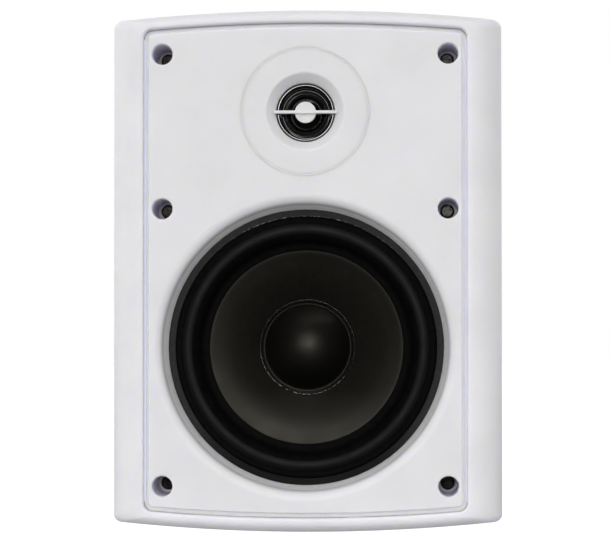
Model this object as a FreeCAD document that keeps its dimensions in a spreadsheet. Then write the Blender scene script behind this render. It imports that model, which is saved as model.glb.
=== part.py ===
import FreeCAD
import Part
import Sketcher
import math
import os
import re

# Driving sizes in millimetres and degrees
SIZES = {
    # cabinet
    "cabinet_width": 199.0,
    "cabinet_height": 266.0,
    "cabinet_depth": 150.0,
    "arch_radius": 900.0,
    "cabinet_wall": 3.0,
    "rim_proud": 1.0,
    "side_round": 16.0,
    "end_round": 7.0,
    "round_depth": 24.0,
    "side_taper": 18.0,
    "front_corner": 5.0,
    "side_corner": 3.2,
    "rear_corner": 12.0,
    "rear_round": 6.0,
    "side_lip": 2.6,
    "end_lip": 2.1,
    "lip_round": 1.2,
    "mouth_corner": 4.7,
    "ledge_width": 4.6,
    "ledge_thickness": 3.0,
    "collar_wall": 2.5,
    # front baffle
    "groove_width": 2.5,
    "groove_depth": 2.6,
    "panel_thickness": 4.0,
    "panel_corner": 2.2,
    "panel_edge_round": 0.8,
    "edge_wall": 3.0,
    "flange_thickness": 3.0,
    "flange_gap": 0.15,
    "seal_thickness": 1.0,
    # baffle screws and their wells
    "screw_side_inset": 6.9,
    "screw_end_inset": 13.4,
    "middle_screw_height": 30.6,
    "well_radius": 5.15,
    "well_depth": 20.5,
    "well_chamfer": 0.6,
    "well_wall": 2.0,
    "well_floor": 3.0,
    "screw_head_radius": 3.6,
    "screw_head_height": 2.5,
    "screw_shank_radius": 2.0,
    "screw_length": 22.0,
    "screw_recess": 1.4,
    "screw_play": 0.25,
    "post_radius": 5.5,
    # yoke inserts
    "yoke_depth": 70.0,
    "yoke_recess": 2.6,
    "yoke_recess_radius": 13.0,
    "insert_radius": 5.0,
    "insert_length": 14.0,
    "insert_bore": 2.55,
    "insert_flange": 7.5,
    "insert_flange_thickness": 1.5,
    "insert_boss_wall": 3.5,
    # room around the woofer and the tweeter
    "woofer_side_room": 7.9,
    "woofer_end_room": 6.0,
    "driver_room": 9.3,
    "tweeter_end_room": 10.1,
    # woofer frame
    "woofer_cover": 3.5,
    "woofer_round": 5.0,
    "dish_lean": 2.2,
    "woofer_seat": 8.5,
    "woofer_ring_wall": 5.5,
    "ear_reach": 3.0,
    "woofer_ear": 5.0,
    "woofer_screw_radius": 1.6,
    "woofer_screw_head": 3.0,
    "woofer_screw_grip": 4.2,
    "gasket_width": 7.0,
    "gasket_thickness": 1.5,
    "basket_flat": 8.0,
    "basket_sheet": 1.2,
    "basket_cup_depth": 12.0,
    "window_inset": 12.0,
    "window_width": 11.0,
    "window_half_angle": 20.0,
    "shelf_width": 8.0,
    "spider_seat": 6.5,
    # woofer moving pieces
    "surround_thickness": 0.8,
    "surround_play": 0.1,
    "surround_roll": 6.4,
    "surround_lip": 4.2,
    "surround_hem": 3.4,
    "cone_thickness": 0.8,
    "cone_depth": 14.0,
    "cone_curve": 80.0,
    "cone_neck": 3.5,
    "cap_radius": 24.0,
    "cap_flange": 2.7,
    "cap_rise": 8.0,
    "cap_thickness": 0.6,
    "former_radius": 12.75,
    "former_thickness": 0.3,
    "coil_thickness": 0.6,
    "coil_length": 9.0,
    "coil_gap": 0.45,
    "spider_thickness": 0.5,
    "spider_wave": 1.2,
    "spider_drop": 9.5,
    # woofer motor and leads
    "motor_plate_step": 2.0,
    "motor_plate_thickness": 5.0,
    "magnet_inset": 2.0,
    "magnet_bore": 21.0,
    "magnet_thickness": 14.0,
    "tag_spread": 6.0,
    "tag_width": 3.0,
    "tag_thickness": 0.5,
    "tag_board_width": 22.0,
    "tag_board_thickness": 1.5,
    "lead_radius": 0.6,
    "lead_landing": 30.0,
    # tweeter
    "face_radius": 32.0,
    "face_gap": 0.15,
    "face_flange": 37.0,
    "face_flange_thickness": 2.5,
    "face_skin": 3.0,
    "funnel_outer": 19.5,
    "funnel_inner": 14.8,
    "funnel_depth": 4.5,
    "funnel_round": 1.5,
    "bridge_height": 1.4,
    "bridge_depth": 2.5,
    "bridge_front": 2.2,
    "disc_radius": 5.3,
    "disc_thickness": 1.6,
    "face_screw_circle": 34.4,
    "small_screw_radius": 1.2,
    "small_screw_head": 2.3,
    "small_screw_head_height": 1.6,
    "clamp_outer": 20.5,
    "clamp_depth": 3.6,
    "edge_radius": 12.9,
    "edge_rise": 1.2,
    "edge_thickness": 0.4,
    "dome_radius": 10.0,
    "dome_rise": 3.6,
    "tweeter_coil_thickness": 0.35,
    "tweeter_gap": 0.4,
    "tweeter_plate_radius": 27.0,
    "tweeter_plate_thickness": 4.0,
    "tweeter_screw_circle": 24.0,
    "tweeter_magnet_radius": 20.0,
    "tweeter_magnet_bore": 13.5,
    "tweeter_magnet_thickness": 8.0,
    "tweeter_back_thickness": 3.5,
    "tweeter_tag_spread": 4.0,
    # crossover
    "board_width": 76.0,
    "board_height": 52.0,
    "board_thickness": 1.6,
    "board_rise": 38.0,
    "standoff": 6.0,
    "standoff_radius": 3.5,
    "board_screw_inset": 4.5,
    "coil_side": 20.0,
    "bobbin_radius": 16.0,
    "bobbin_core": 6.0,
    "bobbin_wall": 1.5,
    "winding_radius": 14.0,
    "winding_width": 13.0,
    "capacitor_side": 17.0,
    "capacitor_radius": 6.5,
    "capacitor_length": 26.0,
    "capacitor_rise": 12.0,
    "small_capacitor_radius": 5.0,
    "small_capacitor_rise": -2.0,
    "resistor_height": 9.0,
    "resistor_rise": -15.5,
    # terminal cup
    "terminal_drop": 45.0,
    "cup_width": 74.0,
    "cup_height": 50.0,
    "cup_flange": 2.2,
    "cup_seal": 0.8,
    "cup_corner": 4.0,
    "tub_width": 54.0,
    "tub_height": 38.0,
    "tub_depth": 15.0,
    "tub_wall": 2.0,
    "tub_gap": 0.5,
    "cup_screw_side": 33.0,
    "cup_screw_rise": 19.0,
    "cup_screw_length": 9.0,
    "lever_side": 8.0,
    "lever_width": 13.0,
    "cheek_thickness": 2.0,
    "lever_pin_radius": 1.25,
    "lever_play": 0.06,
    "lever_pin_depth": 8.0,
    "guide_width": 11.0,
    "guide_drop": 12.5,
    "wire_hole": 1.9,
    "leaf_width": 5.0,
    "leaf_thickness": 0.5,
    "leaf_tail": 5.0,
    # internal wires
    "wire_radius": 1.0,
    "wire_bend": 4.0,
}

# Places worked out from the sizes, depths counted back from the baffle's front
LAYOUT = {
    "half_width": "cabinet_width / 2",
    "half_height": "cabinet_height / 2",
    "round_end": "90 + atan(tan(side_taper) * round_depth / side_round) / 1 deg",
    "end_slope": "tan(side_taper) * end_round / side_round",
    "form_depth": "round_depth * (1 - cos(round_end)) - rim_proud",
    "form_half_width": "half_width - side_round * (1 - sin(round_end))",
    "form_half_height": "half_height - end_round * (1 - sin(round_end))",
    "hollow_turn": "acos(1 - (groove_depth + rim_proud) / round_depth) / 1 deg",
    "rear_inside": "cabinet_depth - cabinet_wall",
    "mouth_half_width": "half_width - side_round - side_lip",
    "mouth_half_height": "half_height - end_round - end_lip",
    "panel_half_width": "mouth_half_width - groove_width",
    "panel_half_height": "mouth_half_height - groove_width",
    "flange_back": "groove_depth + flange_thickness",
    "ledge_depth": "flange_back + seal_thickness",
    "ledge_back": "ledge_depth + ledge_thickness",
    "ledge_half_width": "mouth_half_width - ledge_width",
    "ledge_half_height": "mouth_half_height - ledge_width",
    "screw_side": "panel_half_width - screw_side_inset",
    "screw_end": "panel_half_height - screw_end_inset",
    "well_outer": "well_radius + well_wall",
    "well_end": "well_depth + well_floor",
    "yoke_surface": "form_half_height - end_slope * (yoke_depth - form_depth)",
    "yoke_reach": "yoke_surface - yoke_recess",
    "insert_boss": "insert_radius + insert_boss_wall",
    # the woofer is the largest that fits both across the mouth and below the tweeter
    "spare_height": "panel_half_height - face_radius - (woofer_end_room + driver_room + tweeter_end_room) / 2",
    "rim_across": "mouth_half_width - woofer_side_room",
    "rim_upright": "spare_height - woofer_round - dish_lean + woofer_cover",
    "basket_rim": "min(rim_across; rim_upright)",
    "woofer_opening": "basket_rim - woofer_cover",
    "dish_radius": "woofer_opening + dish_lean + woofer_round",
    "woofer_drop": "panel_half_height - woofer_end_room - dish_radius",
    "tweeter_rise": "panel_half_height - tweeter_end_room - face_radius",
    "woofer_screw_circle": "basket_rim + ear_reach",
    "gasket_inner": "basket_rim - gasket_width",
    "basket_throat": "basket_rim - basket_flat",
    "window_outer": "basket_rim - window_inset",
    "window_inner": "window_outer - window_width",
    "spider_radius": "window_inner - shelf_width",
    "basket_cup": "spider_radius - spider_seat",
    "magnet_radius": "spider_radius - magnet_inset",
    "motor_plate_radius": "magnet_radius - motor_plate_step",
    "surround_front": "woofer_seat + gasket_thickness",
    "surround_back": "surround_front + surround_thickness",
    "roll_outer": "gasket_inner - surround_play",
    "roll_centre": "roll_outer - surround_roll",
    "roll_inner": "roll_outer - 2 * surround_roll",
    "cone_edge": "roll_inner - surround_lip",
    "neck_front": "surround_back + cone_depth",
    "cone_run": "cone_edge - former_radius",
    "cone_chord": "sqrt(cone_run^2 + cone_depth^2)",
    "cone_sweep": "sqrt(cone_curve^2 - cone_chord^2 / 4) / cone_chord",
    "cone_centre_out": "(cone_edge + former_radius) / 2 + cone_sweep * cone_depth",
    "cone_centre_back": "surround_back + cone_depth / 2 + cone_sweep * cone_run",
    "cap_edge": "cone_centre_back - sqrt(cone_curve^2 - (cap_radius - cone_centre_out)^2) - 0.02",
    "cap_dome": "cap_radius - cap_flange",
    "cap_foot": "cone_centre_back - sqrt(cone_curve^2 - (cap_dome - cone_centre_out)^2) - 0.03",
    "cap_curve": "(cap_dome^2 + cap_rise^2) / (2 * cap_rise)",
    "cap_dome_inside": "cap_dome - cap_thickness",
    "cap_curve_inside": "(cap_dome_inside^2 + cap_rise^2) / (2 * cap_rise)",
    "spider_depth": "neck_front + spider_drop",
    "shelf_depth": "spider_depth + spider_thickness",
    "motor_front": "shelf_depth + basket_cup_depth + basket_sheet",
    "motor_plate_back": "motor_front + motor_plate_thickness",
    "magnet_back": "motor_plate_back + magnet_thickness",
    "motor_back": "magnet_back + motor_plate_thickness",
    "coil_front": "motor_front + motor_plate_thickness / 2 - coil_length / 2",
    "coil_back": "coil_front + coil_length",
    "ear_offset": "woofer_screw_circle * cos(45)",
    "basket_back": "surround_back + basket_sheet",
    "tag_board_back": "shelf_depth + basket_sheet + tag_board_thickness",
    "tag_outer": "spider_radius + 11",
    "lead_edge": "lead_landing - lead_radius - cone_centre_out",
    "lead_foot": "cone_centre_back - sqrt((cone_curve - cone_thickness)^2 - lead_edge^2)",
    "face_back": "panel_thickness + face_flange_thickness",
    "lip_front": "face_back + clamp_depth",
    "lip_back": "lip_front + edge_thickness",
    "edge_half": "(edge_radius - dome_radius - 0.6) / 2",
    "edge_middle": "dome_radius + 0.6 + edge_half",
    "edge_curve": "(edge_half^2 + edge_rise^2) / (2 * edge_rise)",
    "dome_curve": "(dome_radius^2 + dome_rise^2) / (2 * dome_rise)",
    "dome_inside": "dome_radius - edge_thickness",
    "dome_curve_inside": "(dome_inside^2 + dome_rise^2) / (2 * dome_rise)",
    "tweeter_plate_back": "lip_back + tweeter_plate_thickness",
    "tweeter_magnet_back": "tweeter_plate_back + tweeter_magnet_thickness",
    "tweeter_bore": "dome_radius + tweeter_coil_thickness + tweeter_gap",
    "tweeter_pole": "dome_radius - edge_thickness - tweeter_gap",
    "board_back": "rear_inside - standoff",
    "board_front": "board_back - board_thickness",
    "board_screw_side": "board_width / 2 - board_screw_inset",
    "board_screw_rise": "board_height / 2 - board_screw_inset",
    "bobbin_width": "winding_width + 2 * bobbin_wall",
    "cup_front": "cabinet_depth + cup_seal",
    "tub_floor": "cabinet_depth - tub_depth",
    "tub_front": "tub_floor - tub_wall",
    "lever_axis": "cabinet_depth - lever_pin_depth",
    "cheek_place": "2 * lever_side",
    "tag_tip": "tub_front - leaf_tail",
}

doc = FreeCAD.newDocument("WallSpeaker")
nodes = []


def full(formula):
    """Put the sheet's name before each of its values."""
    def named(match):
        word = match.group()
        if word in SIZES:
            return "Sizes." + word
        if word in LAYOUT:
            return "Layout." + word
        return word
    return re.sub(r"[A-Za-z_]+", named, str(formula))


def make_sheets():
    """Write the sizes as numbers and the places as formulas."""
    sizes = doc.addObject("Spreadsheet::Sheet", "Sizes")
    for row, (alias, number) in enumerate(SIZES.items(), start=1):
        sizes.set(f"A{row}", alias)
        sizes.set(f"B{row}", str(number))
        sizes.setAlias(f"B{row}", alias)
    doc.recompute()
    layout = doc.addObject("Spreadsheet::Sheet", "Layout")
    for row, (alias, formula) in enumerate(LAYOUT.items(), start=1):
        layout.set(f"A{row}", alias)
        layout.setAlias(f"B{row}", alias)
        layout.set(f"B{row}", "=" + full(formula).replace("Layout.", ""))
    doc.recompute()
    return sizes


sheet = make_sheets()


def value(formula):
    """The number that a formula gives."""
    result = sheet.evalExpression(full(formula))
    return float(getattr(result, "Value", result))


def bind(thing, prop, formula):
    """Tie a property to the sheets."""
    thing.setExpression(prop, full(formula))


def new_body(label):
    body = doc.addObject("PartDesign::Body", label)
    body.Label = label
    return body


def new_sketch(body, plane, offset="0"):
    """A sketch on one of the body's own planes, moved along its normal."""
    sketch = body.newObject("Sketcher::SketchObject", body.Label + "_sketch")
    support = [f for f in body.Origin.OriginFeatures if f.Role == plane][0]
    sketch.AttachmentSupport = [(support, "")]
    sketch.MapMode = "FlatFace"
    bind(sketch, ".AttachmentOffset.Base.z", offset)
    return sketch


def arc_between(start, end, radius, side):
    """The short arc from start to end with its centre on the left (1) or the right (-1)."""
    along = end - start
    normal = FreeCAD.Vector(-along.y, along.x, 0).normalize() * side
    rise = math.sqrt(max(radius ** 2 - (along.Length / 2) ** 2, 0))
    centre = (start + end) / 2 + normal * rise
    first, last = (start, end) if side > 0 else (end, start)
    angles = [math.atan2(p.y - centre.y, p.x - centre.x) for p in (first, last)]
    circle = Part.Circle(centre, FreeCAD.Vector(0, 0, 1), radius)
    return Part.ArcOfCircle(circle, angles[0], angles[1])


def draw(sketch, corners):
    """A closed outline; each corner is (x, y) or (x, y, radius, side) for an arc to the next."""
    count = len(corners)
    base = sketch.GeometryCount
    points = [FreeCAD.Vector(value(c[0]), value(c[1]), 0) for c in corners]
    ends = []
    for k, corner in enumerate(corners):
        start, end = points[k], points[(k + 1) % count]
        if len(corner) == 2:
            sketch.addGeometry(Part.LineSegment(start, end), False)
            ends.append((1, 2))
        else:
            sketch.addGeometry(arc_between(start, end, value(corner[2]), corner[3]), False)
            ends.append((1, 2) if corner[3] > 0 else (2, 1))
    for k, corner in enumerate(corners):
        after = (k + 1) % count
        sketch.addConstraint(
            Sketcher.Constraint("Coincident", base + k, ends[k][1], base + after, ends[after][0]))
        pin(sketch, base + k, ends[k][0], corner[0], corner[1])
        if len(corner) == 4:
            hold(sketch, Sketcher.Constraint("Radius", base + k, value(corner[2])), corner[2])


def draw_circle(sketch, x, y, radius):
    centre = FreeCAD.Vector(value(x), value(y), 0)
    circle = Part.Circle(centre, FreeCAD.Vector(0, 0, 1), value(radius))
    index = sketch.addGeometry(circle, False)
    pin(sketch, index, 3, x, y)
    hold(sketch, Sketcher.Constraint("Radius", index, value(radius)), radius)


def draw_any(sketch, outline):
    """A closed outline, or a circle given as (x, y, radius)."""
    if isinstance(outline, tuple):
        draw_circle(sketch, *outline)
    else:
        draw(sketch, outline)


def pin(sketch, geometry, position, x, y):
    """Hold a point at a place given by two formulas."""
    hold(sketch, Sketcher.Constraint("DistanceX", geometry, position, value(x)), x)
    hold(sketch, Sketcher.Constraint("DistanceY", geometry, position, value(y)), y)


def hold(sketch, constraint, formula):
    """Add a constraint and tie its number to the sheets."""
    index = sketch.addConstraint(constraint)
    if re.search("[a-z]", str(formula)):
        bind(sketch, f"Constraints[{index}]", formula)


def arched(half_width, half_height, corner):
    """The outline with straight sides, arched ends and rounded corners."""
    a, b, c = f"({half_width})", f"({half_height})", f"({corner})"
    root = f"sqrt((arch_radius - {c})^2 - ({a} - {c})^2)"
    side_z = f"({b} - arch_radius + {root})"
    end_x = f"(arch_radius * ({a} - {c}) / (arch_radius - {c}))"
    end_z = f"({b} - arch_radius + arch_radius * {root} / (arch_radius - {c}))"
    return [
        (a, "-" + side_z),
        (a, side_z, corner, 1),
        (end_x, end_z, "arch_radius", 1),
        ("-" + end_x, end_z, corner, 1),
        ("-" + a, side_z),
        ("-" + a, "-" + side_z, corner, 1),
        ("-" + end_x, "-" + end_z, "arch_radius", 1),
        (end_x, "-" + end_z, corner, 1),
    ]


def box(left, right, low, high):
    """A square outline."""
    return [(left, low), (right, low), (right, high), (left, high)]


def rounded(half_width, half_height, corner):
    """A square outline with rounded corners."""
    a, b, c = f"({half_width})", f"({half_height})", f"({corner})"
    return [
        (a, f"-{b} + {c}"),
        (a, f"{b} - {c}", corner, 1),
        (f"{a} - {c}", b),
        (f"-{a} + {c}", b, corner, 1),
        ("-" + a, f"{b} - {c}"),
        ("-" + a, f"-{b} + {c}", corner, 1),
        (f"-{a} + {c}", "-" + b),
        (f"{a} - {c}", "-" + b, corner, 1),
    ]


def cross(x, y, reach, half):
    """The plus-shaped outline of a screw's recess."""
    spots = [(reach, -half), (reach, half), (half, half), (half, reach), (-half, reach), (-half, half)]
    spots += [(-px, -py) for px, py in spots]
    return [(f"{x} + {px}", f"{y} + {py}") for px, py in spots]


def ring(inner, outer, front, back):
    """The square profile of a ring."""
    return [(inner, front), (outer, front), (outer, back), (inner, back)]


def extrude(body, kind, plane, outlines, offset, length):
    """Add or cut outlines over a length from a plane of the body."""
    sketch = new_sketch(body, plane, offset)
    for outline in outlines:
        draw_any(sketch, outline)
    feature = body.newObject(kind, "Extruded")
    feature.Profile = sketch
    bind(feature, "Length", length)
    return feature


def pad(body, outlines, start, length):
    """Add outlines, drawn as seen from the front, from one depth backwards."""
    extrude(body, "PartDesign::Pad", "XZ_Plane", outlines, f"-({start})", length).Reversed = True


def pocket(body, outlines, start, length):
    """Cut outlines from one depth backwards."""
    extrude(body, "PartDesign::Pocket", "XZ_Plane", outlines, f"-({start})", length)


def pad_up(body, outlines, start, length):
    """Add outlines, drawn as seen from above, from one height upwards."""
    extrude(body, "PartDesign::Pad", "XY_Plane", outlines, start, length)


def pocket_up(body, outlines, start, length):
    """Cut outlines from one height upwards."""
    extrude(body, "PartDesign::Pocket", "XY_Plane", outlines, start, length).Reversed = True


def pad_across(body, outlines, start, length):
    """Add outlines, drawn as (depth, height), from one side place to the right."""
    extrude(body, "PartDesign::Pad", "YZ_Plane", outlines, start, length)


def pocket_across(body, outlines, start, length):
    """Cut outlines, drawn as (depth, height), from one side place to the right."""
    extrude(body, "PartDesign::Pocket", "YZ_Plane", outlines, start, length).Reversed = True


def turn(body, profile, kind="PartDesign::Revolution", x="0", z="0"):
    """Add or cut a ring; the profile is (radius, depth) about an axis along the depth."""
    sketch = new_sketch(body, "XY_Plane", z)
    bind(sketch, ".AttachmentOffset.Base.x", x)
    draw(sketch, profile)
    feature = body.newObject(kind, "Turned")
    feature.Profile = sketch
    feature.ReferenceAxis = (sketch, ["V_Axis"])
    feature.Angle = 360


def loft(body, sections, ruled):
    """A skin through outlines at rising depths; each section is (depth, outline)."""
    sketches = []
    for depth, outline in sections:
        sketch = new_sketch(body, "XZ_Plane", f"-({depth})")
        draw(sketch, outline)
        sketches.append(sketch)
    feature = body.newObject("PartDesign::AdditiveLoft", "Loft")
    feature.Profile = sketches[0]
    feature.Sections = sketches[1:]
    feature.Ruled = ruled


def soften(body, radius, chosen):
    """Round the edges of the body's last feature that a test picks."""
    doc.recompute()
    last = body.Tip
    names = [f"Edge{k}" for k, edge in enumerate(last.Shape.Edges, start=1) if chosen(edge)]
    feature = body.newObject("PartDesign::Fillet", "Fillet")
    feature.Base = (last, names)
    bind(feature, "Radius", radius)


def lies_at(edge, depth):
    """Whether the whole edge lies at one depth."""
    return all(abs(p.y - value(depth)) < 0.001 for p in edge.discretize(5))


def place(thing, height="0"):
    """Put a thing modelled from the baffle's front and centre into the shared frame."""
    bind(thing, ".Placement.Base.y", "-yoke_depth")
    bind(thing, ".Placement.Base.z", f"yoke_reach + {height}")
    nodes.append(thing)
    return thing


def combine(kind, label, shapes):
    """A boolean of several objects."""
    result = doc.addObject(kind, label)
    result.Label = label
    if kind == "Part::Cut":
        result.Base, result.Tool = shapes
    else:
        result.Shapes = shapes
    return result


def turned(label, profile, height="0"):
    """A sub-part that is one turned ring or disc."""
    body = new_body(label)
    turn(body, profile)
    return place(body, height)


# Screw places as seen from the front
BAFFLE_SCREWS = [
    (side + "screw_side", height)
    for side in ("", "-") for height in ("screw_end", "middle_screw_height", "-screw_end")
]
EAR_SPOTS = [(a + "ear_offset", b + "ear_offset") for a in ("", "-") for b in ("", "-")]
BOARD_SCREWS = [(a + "board_screw_side", b + "board_screw_rise") for a in ("", "-") for b in ("", "-")]
CUP_SCREWS = [(a + "cup_screw_side", b + "cup_screw_rise") for a in ("", "-") for b in ("", "-")]


def around(circle, first, count):
    """Evenly spaced places on a circle."""
    angles = [first + 360 * k / count for k in range(count)]
    return [(f"{circle} * cos({angle})", f"{circle} * sin({angle})") for angle in angles]


FACE_SCREWS = around("face_screw_circle", 90, 3)
MOTOR_SCREWS = around("tweeter_screw_circle", 90, 3)


def discs(spots, radius, rise="0"):
    """Circles of one radius at several places."""
    return [(x, f"{rise} + {z}", radius) for x, z in spots]


# Cabinet shell
def cabinet_form(label, inset, front_turn, back):
    """The outer form, or its hollow when inset by the wall."""
    body = new_body(label)
    steps = 8
    sections = []
    for k in range(steps + 1):
        angle = f"({front_turn} + (round_end - {front_turn}) * {k} / {steps})"
        sections.append((
            f"round_depth * (1 - cos({angle})) - rim_proud",
            arched(f"half_width - side_round * (1 - sin({angle})) - {inset}",
                   f"half_height - end_round * (1 - sin({angle})) - {inset}",
                   f"front_corner + (side_corner - front_corner) * {angle} / round_end")))
    loft(body, sections, False)
    tail = [
        ("form_depth",
         arched(f"form_half_width - {inset}", f"form_half_height - {inset}", "side_corner")),
        (back,
         arched(f"form_half_width - {inset} - tan(side_taper) * ({back} - form_depth)",
                f"form_half_height - {inset} - end_slope * ({back} - form_depth)", "rear_corner")),
    ]
    loft(body, tail, True)
    return body


def cabinet_inside():
    """The collar, posts and bosses that stand inside the cabinet."""
    collar = new_body("cabinet_collar")
    pad(collar, [arched("mouth_half_width + collar_wall", "mouth_half_height + collar_wall",
                        "mouth_corner + collar_wall")], "-rim_proud", "ledge_back + rim_proud")
    posts = new_body("cabinet_posts")
    pad(posts, discs(BAFFLE_SCREWS, "post_radius"), "well_end", "cabinet_depth - well_end")
    bosses = new_body("cabinet_bosses")
    reach = "insert_length + cabinet_wall"
    pad_up(bosses, [("0", "yoke_depth", "insert_boss")], f"yoke_reach - ({reach})", f"{reach} + half_height")
    pad_up(bosses, [("0", "yoke_depth", "yoke_recess_radius + cabinet_wall")],
           "yoke_reach - cabinet_wall", "half_height")
    pad_up(bosses, [("0", "yoke_depth", "insert_boss")], "-yoke_reach - half_height", f"{reach} + half_height")
    pad_up(bosses, [("0", "yoke_depth", "yoke_recess_radius + cabinet_wall")],
           "-yoke_reach - half_height", "half_height + cabinet_wall")
    pad(bosses, discs(BOARD_SCREWS, "standoff_radius", "board_rise"), "board_back", "standoff + 1")
    pad(bosses, discs(CUP_SCREWS, "standoff_radius", "-terminal_drop"),
        "cabinet_depth - cup_screw_length", "cup_screw_length - 1")
    return [collar, posts, bosses]


def cabinet_shell():
    form = cabinet_form("cabinet_form", "0", "0", "cabinet_depth")
    soften(form, "rear_round", lambda edge: lies_at(edge, "cabinet_depth"))
    hollow = cabinet_form("cabinet_hollow", "cabinet_wall", "hollow_turn", "rear_inside")
    shell = combine("Part::Cut", "cabinet_walls", [form, hollow])
    inside = combine("Part::MultiFuse", "cabinet_inside", cabinet_inside())
    trimmed = combine("Part::MultiCommon", "cabinet_fittings", [inside, form])
    blank = combine("Part::MultiFuse", "cabinet_blank", [shell, trimmed])
    doc.recompute()
    body = new_body("cabinet_shell")
    body.BaseFeature = blank
    pocket(body, [arched("mouth_half_width", "mouth_half_height", "mouth_corner")],
           "-rim_proud - 1", "ledge_depth + rim_proud + 1")
    pocket(body, [arched("ledge_half_width", "ledge_half_height", "mouth_corner")],
           "ledge_depth - 1", "ledge_thickness + 2")
    pocket(body, discs(BAFFLE_SCREWS, "well_outer + flange_gap"), "ledge_depth - 1", "ledge_thickness + 2")
    pocket(body, discs(BAFFLE_SCREWS, "screw_shank_radius - 0.3"), "well_end - 1", "screw_length + 1")
    for side in ("", "-"):
        start = "yoke_reach" if side == "" else "-yoke_reach - half_height"
        pocket_up(body, [("0", "yoke_depth", "yoke_recess_radius")], start, "half_height")
        start = "yoke_reach - insert_length" if side == "" else "-yoke_reach"
        pocket_up(body, [("0", "yoke_depth", "insert_radius")], start, "insert_length")
        start = "yoke_reach - insert_flange_thickness" if side == "" else "-yoke_reach"
        pocket_up(body, [("0", "yoke_depth", "insert_flange")], start, "insert_flange_thickness")
    pocket(body, [shifted(rounded("tub_width / 2 + tub_wall + tub_gap", "tub_height / 2 + tub_wall + tub_gap",
                                  "cup_corner"), "-terminal_drop")], "rear_inside - 1", "cabinet_wall + 2")
    pocket(body, discs(BOARD_SCREWS, "small_screw_radius", "board_rise"), "board_back - 1", "standoff + 1")
    pocket(body, discs(CUP_SCREWS, "small_screw_radius", "-terminal_drop"),
           "cabinet_depth - cup_screw_length + 1", "cup_screw_length")
    soften(body, "lip_round", is_mouth_edge)
    return place(body)


def shifted(outline, height):
    """An outline moved up or down."""
    return [(corner[0], f"{height} + {corner[1]}") + tuple(corner[2:]) for corner in outline]


def is_mouth_edge(edge):
    """Whether an edge lies on the front of the mouth."""
    inside = all(abs(p.x) < value("mouth_half_width") + 0.01 and abs(p.z) < value("mouth_half_height") + 0.01
                 for p in edge.discretize(5))
    return inside and lies_at(edge, "-rim_proud")


cabinet_shell()


def yoke_insert(label, mouth, inward):
    """A threaded brass insert pressed into the top or the bottom of the cabinet."""
    body = new_body(label)
    low = f"{mouth} - insert_length" if inward < 0 else mouth
    flange = f"{mouth} - insert_flange_thickness" if inward < 0 else mouth
    pad_up(body, [("0", "yoke_depth", "insert_radius")], low, "insert_length")
    pad_up(body, [("0", "yoke_depth", "insert_flange")], flange, "insert_flange_thickness")
    pocket_up(body, [("0", "yoke_depth", "insert_bore")], low, "insert_length")
    place(body)


yoke_insert("yoke_insert_top", "yoke_reach", -1)
yoke_insert("yoke_insert_bottom", "-yoke_reach", 1)


# Front baffle
def front_baffle():
    body = new_body("front_baffle")
    pad(body, [arched("panel_half_width", "panel_half_height", "panel_corner")], "0", "flange_back")
    pad(body, [arched("mouth_half_width - flange_gap", "mouth_half_height - flange_gap",
                      "mouth_corner - flange_gap")], "groove_depth", "flange_thickness")
    soften(body, "panel_edge_round", lambda edge: lies_at(edge, "0"))
    pocket(body, [arched("panel_half_width - edge_wall", "panel_half_height - edge_wall", "panel_corner")],
           "panel_thickness", "flange_back")
    turn(body, ring("woofer_opening", "woofer_opening + woofer_ring_wall", "1", "woofer_seat"), z="-woofer_drop")
    pad(body, discs(EAR_SPOTS, "woofer_ear", "-woofer_drop"), "panel_thickness - 1",
        "woofer_seat - panel_thickness + 1")
    pad(body, discs(BAFFLE_SCREWS, "well_outer"), "panel_thickness - 1", "well_end - panel_thickness + 1")
    turn(body, [
        ("0", "-1"),
        ("dish_radius", "-1"),
        ("dish_radius", "0", "woofer_round", -1),
        ("woofer_opening + dish_lean", "woofer_round"),
        ("woofer_opening", "woofer_seat - 0.5"),
        ("woofer_opening", "woofer_seat + 1"),
        ("0", "woofer_seat + 1"),
    ], "PartDesign::Groove", z="-woofer_drop")
    pocket(body, discs(EAR_SPOTS, "woofer_screw_radius", "-woofer_drop"),
           "woofer_seat - woofer_screw_grip", "woofer_screw_grip + 1")
    pocket(body, [("0", "tweeter_rise", "face_radius")], "-1", "panel_thickness + 2")
    pocket(body, discs(FACE_SCREWS, "small_screw_radius", "tweeter_rise"), "panel_thickness - 2.5", "3")
    pocket(body, discs(BAFFLE_SCREWS, "well_radius"), "-1", "well_depth + 1")
    pocket(body, discs(BAFFLE_SCREWS, "screw_shank_radius + screw_play"), "well_depth - 1", "well_floor + 2")
    for x, z in BAFFLE_SCREWS:
        turn(body, [
            ("0", "-1"),
            ("well_radius + well_chamfer + 1", "-1"),
            ("well_radius + well_chamfer", "0"),
            ("well_radius", "well_chamfer"),
            ("0", "well_chamfer"),
        ], "PartDesign::Groove", x=x, z=z)
    place(body)


def baffle_seal():
    """The foam strip between the baffle's flange and the cabinet's ledge."""
    body = new_body("baffle_seal")
    pad(body, [arched("mouth_half_width - flange_gap", "mouth_half_height - flange_gap",
                      "mouth_corner - flange_gap"),
               arched("ledge_half_width", "ledge_half_height", "mouth_corner")], "flange_back", "seal_thickness")
    pocket(body, discs(BAFFLE_SCREWS, "well_outer + flange_gap"), "flange_back - 1", "seal_thickness + 2")
    place(body)


def baffle_screws():
    body = new_body("baffle_screws")
    pad(body, discs(BAFFLE_SCREWS, "screw_head_radius"), "well_depth - screw_head_height", "screw_head_height")
    pad(body, discs(BAFFLE_SCREWS, "screw_shank_radius - 0.3"), "well_depth", "screw_length")
    soften(body, "screw_head_height * 0.4", lambda edge: lies_at(edge, "well_depth - screw_head_height"))
    pocket(body, [cross(x, z, 1.9, 0.45) for x, z in BAFFLE_SCREWS],
           "well_depth - screw_head_height", "screw_recess")
    place(body)


front_baffle()
baffle_seal()
baffle_screws()


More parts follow.
